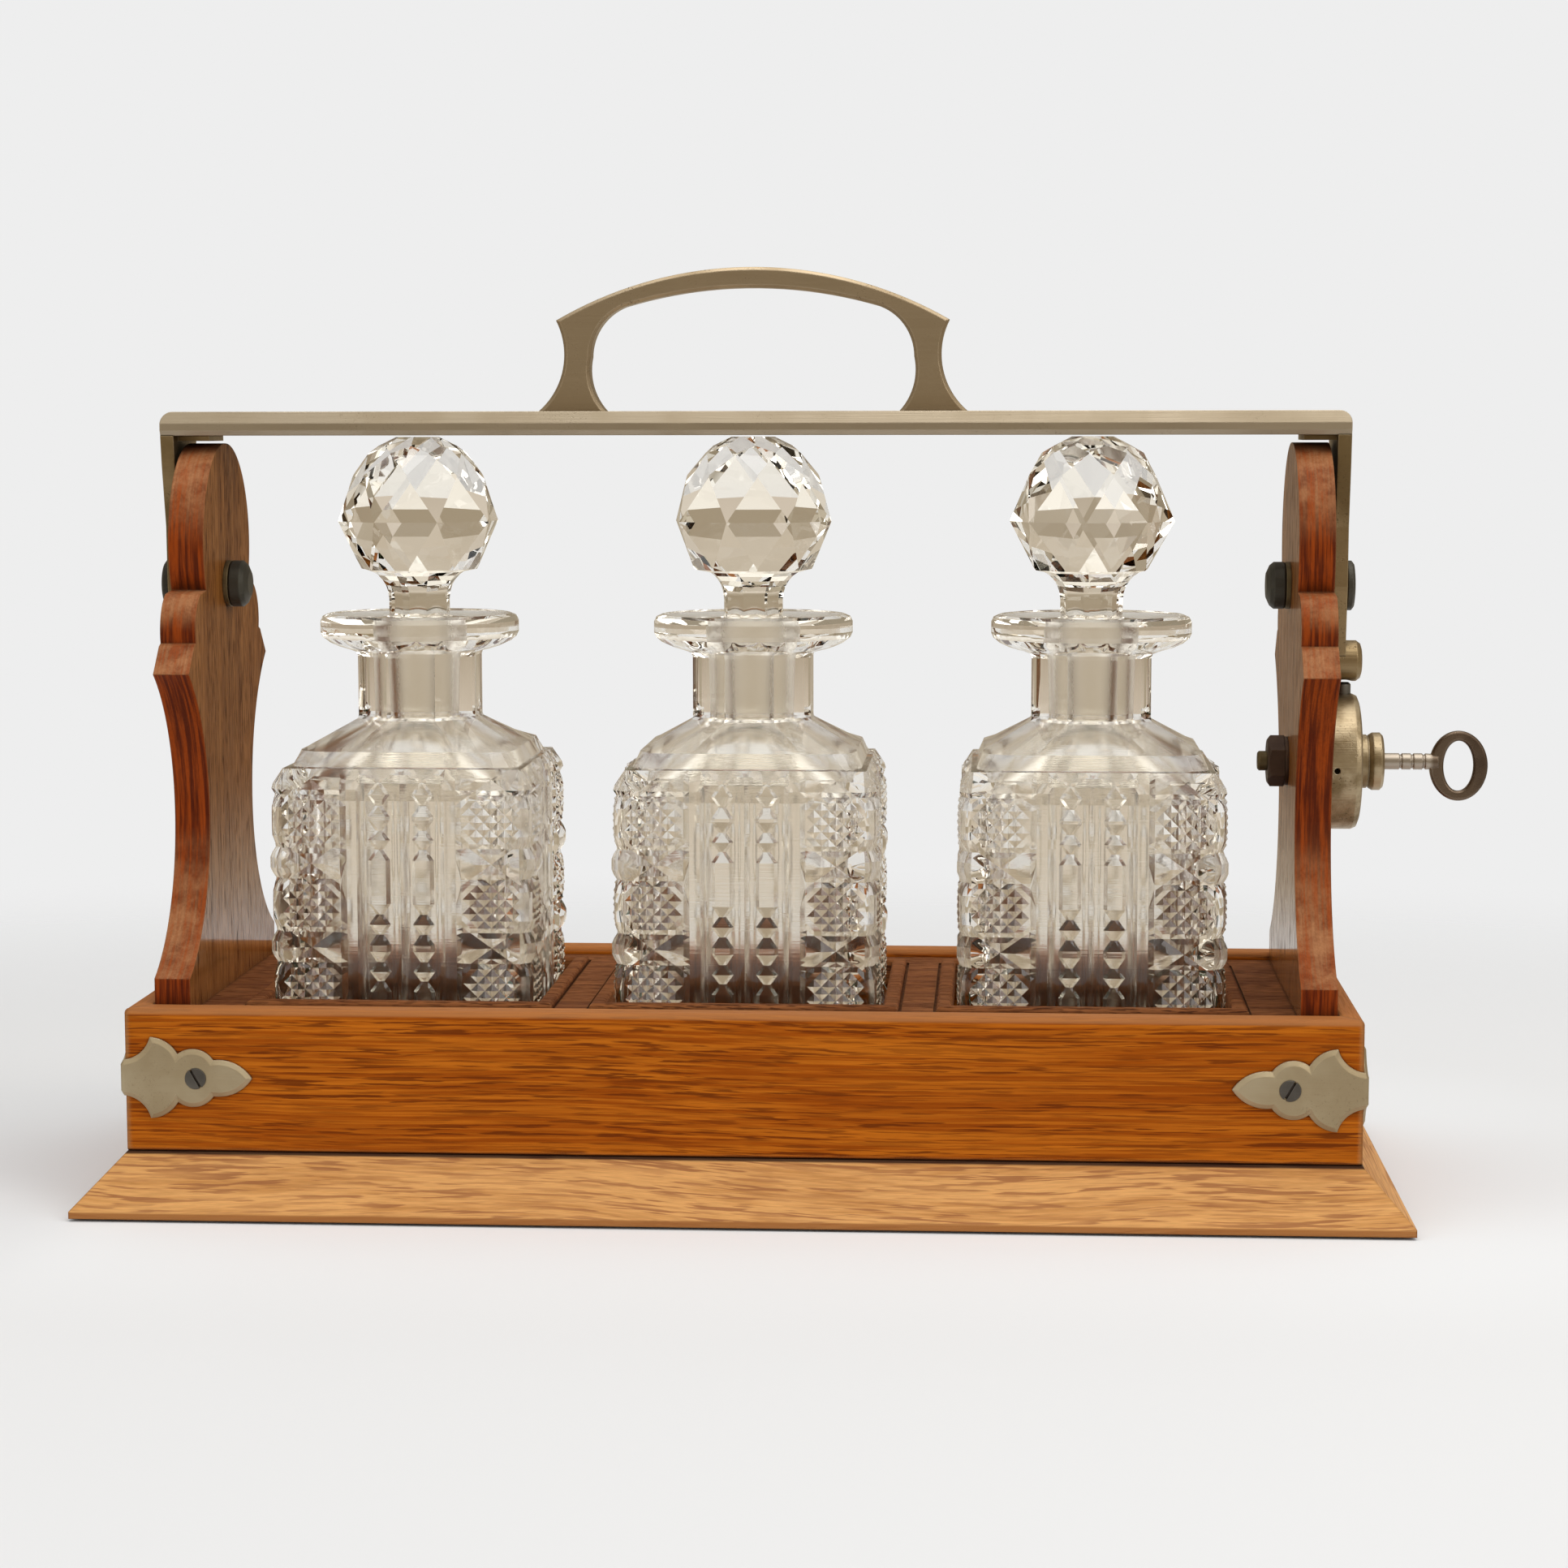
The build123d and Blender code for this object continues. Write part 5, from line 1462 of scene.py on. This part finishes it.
@dataclass
class Stopper:
    """A faceted ball stopper with an eight-sided stem and a round ground plug.

    rings holds, for each ring of facets, their tilt in degrees, their distance from the
    ball's centre and the share of a facet by which they are turned. stem holds the height,
    radius and roundness of each ring below the ball.
    """

    number: int
    materials: list[Material]
    turn: float = 0.0
    centre_z: float = 195.5
    top_z: float = 220.3
    cut_z: float = 181.2
    blank: float = 80.0
    rings: tuple[tuple[float, float, float], ...] = (
        (12.0, 21.96, 0.0), (25.0, 22.02, 0.5), (42.0, 23.6, 0.0), (62.0, 24.7, 0.5),
        (-19.0, 21.23, 0.0), (-30.0, 21.04, 0.5))
    stem: tuple[tuple[float, float, float], ...] = (
        (180.4, 13.9, 0.0), (179.4, 12.4, 0.0), (178.0, 11.1, 0.0), (176.4, 10.1, 0.0),
        (174.6, 9.5, 0.0), (172.4, 9.2, 0.0), (169.0, 9.2, 0.0), (167.3, 9.1, 0.4),
        (166.5, 9.2, 1.0), (165.8, 9.24, 1.0))
    plug_end: float = 139.1
    plug_radius: float = 8.32
    ground_below: float = 150.0

    def ball(self) -> Shape:
        """Cuts the ball out of a cube, facet by facet.

        Returns:
            The ball with a level cut at its top and foot.
        """
        bm = bmesh.new()
        bmesh.ops.create_cube(bm, size=self.blank)
        cuts = [((0.0, 0.0, 1.0), self.top_z - self.centre_z),
                ((0.0, 0.0, -1.0), self.centre_z - self.cut_z)]
        for tilt, reach, stagger in self.rings:
            for index in range(8):
                way = EIGHTH * (index + stagger)
                level = math.cos(math.radians(tilt))
                cuts.append(((level * math.cos(way), level * math.sin(way),
                              math.sin(math.radians(tilt))), reach))
        for way, reach in ((Vector(axes), reach) for axes, reach in cuts):
            cut = bmesh.ops.bisect_plane(bm, geom=whole(bm), dist=0.0001, plane_co=way * reach,
                                         plane_no=way, clear_outer=True)["geom_cut"]
            bmesh.ops.contextual_create(bm, geom=cut)
        bmesh.ops.translate(bm, vec=(0, 0, self.centre_z), verts=bm.verts)
        return bm

    def stem_point(self, above: Vector, z: float, radius: float, round_share: float) -> Vector:
        """A point of the stem or plug.

        Args:
            above: The point that it is drawn down from.
            z: Its ring's height.
            radius: The ring's radius over its corners.
            round_share: How round the ring is, from an octagon at 0 to a circle at 1.

        Returns:
            The point.
        """
        way = math.atan2(above.y, above.x)
        off = way - EIGHTH * round(way / EIGHTH)
        flat = math.cos(EIGHTH / 2) / math.cos(off)
        reach = radius * (flat + (1 - flat) * round_share)
        return Vector((reach * math.cos(way), reach * math.sin(way), z))

    def draw_down(self, bm: Shape) -> None:
        """Extrudes the stem and plug from the ball's foot.

        Args:
            bm: The ball.
        """
        foot = min(bm.faces, key=lambda f: f.calc_center_median().z)
        edges = list(foot.edges)
        bmesh.ops.delete(bm, geom=[foot], context="FACES_ONLY")
        bmesh.ops.subdivide_edges(bm, edges=edges, cuts=5)
        rim = [e for e in bm.edges if e.is_boundary]
        rings = list(self.stem) + [(self.plug_end + 0.5, self.plug_radius, 1.0),
                                   (self.plug_end, self.plug_radius - 0.5, 1.0)]
        for ring in rings:
            skin = Skin.GROUND if ring[0] < self.ground_below else Skin.POLISHED
            rim = pull(bm, rim, lambda vert, r=ring: self.stem_point(vert.co, *r), skin.value)
        bmesh.ops.contextual_create(bm, geom=rim)

    def build(self) -> Thing:
        """Makes the stopper as one closed piece.

        Returns:
            The piece.
        """
        bm = self.ball()
        self.draw_down(bm)
        bmesh.ops.remove_doubles(bm, verts=bm.verts, dist=0.001)
        return stand_glass(bm, f"stopper_{self.number}", self.materials, 9.0, self.turn)


# ---- studio


@dataclass
class Studio:
    """The camera, the pale floor, the soft lamps and the light all round.

    The two rows of stops give the light that metal mirrors and that glass bends,
    from straight below at 0 through the horizon at 0.5 to straight above at 1.
    """

    backdrop: Colour = (0.855, 0.855, 0.855)
    floor_lit: Colour = (0.925, 0.938, 0.945)
    floor_shaded: Colour = (0.862, 0.87, 0.875)
    camera_place: Colour = (0.0735, -0.9985, 0.2240)
    yaw: float = -0.06447
    pitch: float = 0.10637
    roll: float = -0.00126
    lens: float = 77.404
    floor_size: float = 6.0
    fade_from: float = 0.32
    fade_to: float = 0.7
    ambient: float = 0.5
    mirrored: Stops = (
        (0.30, (0.64, 0.57, 0.45)), (0.425, (0.53, 0.46, 0.35)), (0.45, (0.43, 0.365, 0.27)),
        (0.50, (0.42, 0.355, 0.26)), (0.60, (0.31, 0.255, 0.175)),
        (0.78, (0.36, 0.31, 0.235)), (0.90, (1.0, 0.98, 0.92)))
    through: Stops = (
        (0.36, (1.0, 0.95, 0.85)), (0.455, (0.64, 0.55, 0.445)), (0.475, (0.39, 0.315, 0.22)),
        (0.53, (0.37, 0.30, 0.205)), (0.56, (0.59, 0.505, 0.39)), (0.76, (0.61, 0.53, 0.42)),
        (0.86, (1.35, 1.29, 1.15)))

    def camera(self) -> None:
        """Stands the camera in front of the object."""
        way = Vector((math.sin(self.yaw) * math.cos(self.pitch),
                      math.cos(self.yaw) * math.cos(self.pitch), -math.sin(self.pitch)))
        right = Vector((math.cos(self.yaw), -math.sin(self.yaw), 0.0))
        up = right.cross(way)
        turned = right * math.cos(self.roll) + up * math.sin(self.roll)
        lifted = up * math.cos(self.roll) - right * math.sin(self.roll)
        lens = bpy.data.cameras.new("camera")
        lens.lens = self.lens
        lens.sensor_width = 36.0
        lens.clip_start = 0.01
        holder = new_object("camera", lens)
        axes = Matrix((turned, lifted, -way)).transposed().to_4x4()
        holder.matrix_world = Matrix.Translation(self.camera_place) @ axes
        bpy.context.scene.camera = holder

    def floor(self) -> None:
        """Lays a floor that keeps the shadow and fades out away from the object."""
        bm = bmesh.new()
        bmesh.ops.create_grid(bm, x_segments=1, y_segments=1, size=self.floor_size / 2)
        material, g, shader, place = Finish("floor_pale").start()
        far = g.vector("LENGTH", g.stretch(place, (0.8, 1.0, 1.0)))
        axes = g.split(place)
        past = [g.math("SUBTRACT", g.math("ABSOLUTE", axes[axis]), half)
                for axis, half in enumerate((0.18, 0.075))]
        gap = g.join(*(g.math("MAXIMUM", value, 0.0) for value in past))
        # painted light: round the plinth the floor is lighter than the backdrop, less so to the
        # left, so that the shadow shows there
        tone = g.blend(g.ease(axes[0], -0.17, -0.21), self.floor_lit, self.floor_shaded)
        away = g.ease(g.vector("LENGTH", gap), 0.0, 0.13)
        g.fill(shader, Base_Color=g.blend(away, tone, self.backdrop), Roughness=1.0,
               Specular_IOR_Level=0.0)
        g.see_through(shader, g.ease(far, self.fade_from, self.fade_to))
        new_mesh("floor", bm, [material])

    def lamp(self, name: str, place: Colour, size: float, power: float, tone: Colour) -> None:
        """Hangs one square soft lamp that faces the object.

        Args:
            name: The lamp's name.
            place: Where it hangs, in metres.
            size: Its side, in metres.
            power: Its power, in watts.
            tone: Its colour.
        """
        light = bpy.data.lights.new(name, "AREA")
        light.size = size
        light.energy = power
        light.color = tone
        holder = new_object(name, light)
        holder.location = place
        aim = Vector((0.0, 0.0, 0.12)) - Vector(place)
        holder.rotation_euler = aim.to_track_quat("-Z", "Y").to_euler()

    def surroundings(self) -> None:
        """Lights the scene evenly all round, with darker walls for glass and metal."""
        world = bpy.data.worlds.new("studio")
        bpy.context.scene.world = world
        world.use_nodes = True
        g = Graph(world.node_tree)
        way = g.add("ShaderNodeTexCoord").outputs["Generated"]
        height = g.math("MULTIPLY_ADD", g.split(way)[2], 0.5, 0.5)
        mirrored = g.ramp(height, self.mirrored)
        through = g.ramp(height, self.through)
        path = g.add("ShaderNodeLightPath")
        colour = g.blend(path.outputs["Is Glossy Ray"], (self.ambient,) * 3, mirrored)
        colour = g.blend(path.outputs["Is Transmission Ray"], colour, through)
        colour = g.blend(path.outputs["Is Camera Ray"], colour, self.backdrop)
        g.fill(world.node_tree.nodes["Background"], Color=colour, Strength=1.0)

    def build(self) -> None:
        """Sets up everything round the object."""
        self.camera()
        self.floor()
        self.lamp("overhead", (0.15, -0.1, 1.5), 1.3, 10.0, (1.0, 0.99, 0.97))
        self.lamp("right_front", (1.25, -1.0, 0.95), 0.9, 7.6, (1.0, 0.99, 0.97))
        self.lamp("left_fill", (-1.3, -0.9, 0.6), 0.9, 3.3, (1.0, 1.0, 1.0))
        self.surroundings()
        bpy.context.scene.view_settings.view_transform = "Standard"


# ---- main


def main() -> None:
    """Builds the studio, then each sub-assembly in order."""
    logging.basicConfig(level=logging.INFO, format="%(name)s: %(message)s")
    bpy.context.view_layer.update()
    Studio().build()
    log.info("studio ready")
    effects = Effects()
    Stand(effects).build()
    log.info("stand dressed")
    Fittings(effects).build()
    log.info("fittings dressed")
    polished = Glass("glass_polished", tint=(0.955, 0.94, 0.905)).build(effects)
    ground = Glass("glass_ground", tint=(0.93, 0.91, 0.87), smooth=0.38).build(effects)
    inside = Glass("glass_inside", tint=(0.96, 0.945, 0.91), smooth=0.16).build(effects)
    for number, turn in ((1, 0.0), (2, math.radians(8)), (3, math.radians(17))):
        decanter = Decanter(number, [polished, ground, inside]).build()
        stopper = Stopper(number, [polished, ground], turn=turn).build()
        log.info("%s has %d faces, %s has %d", decanter.name, len(decanter.data.polygons),
                 stopper.name, len(stopper.data.polygons))


if __name__ == "__main__":
    main()
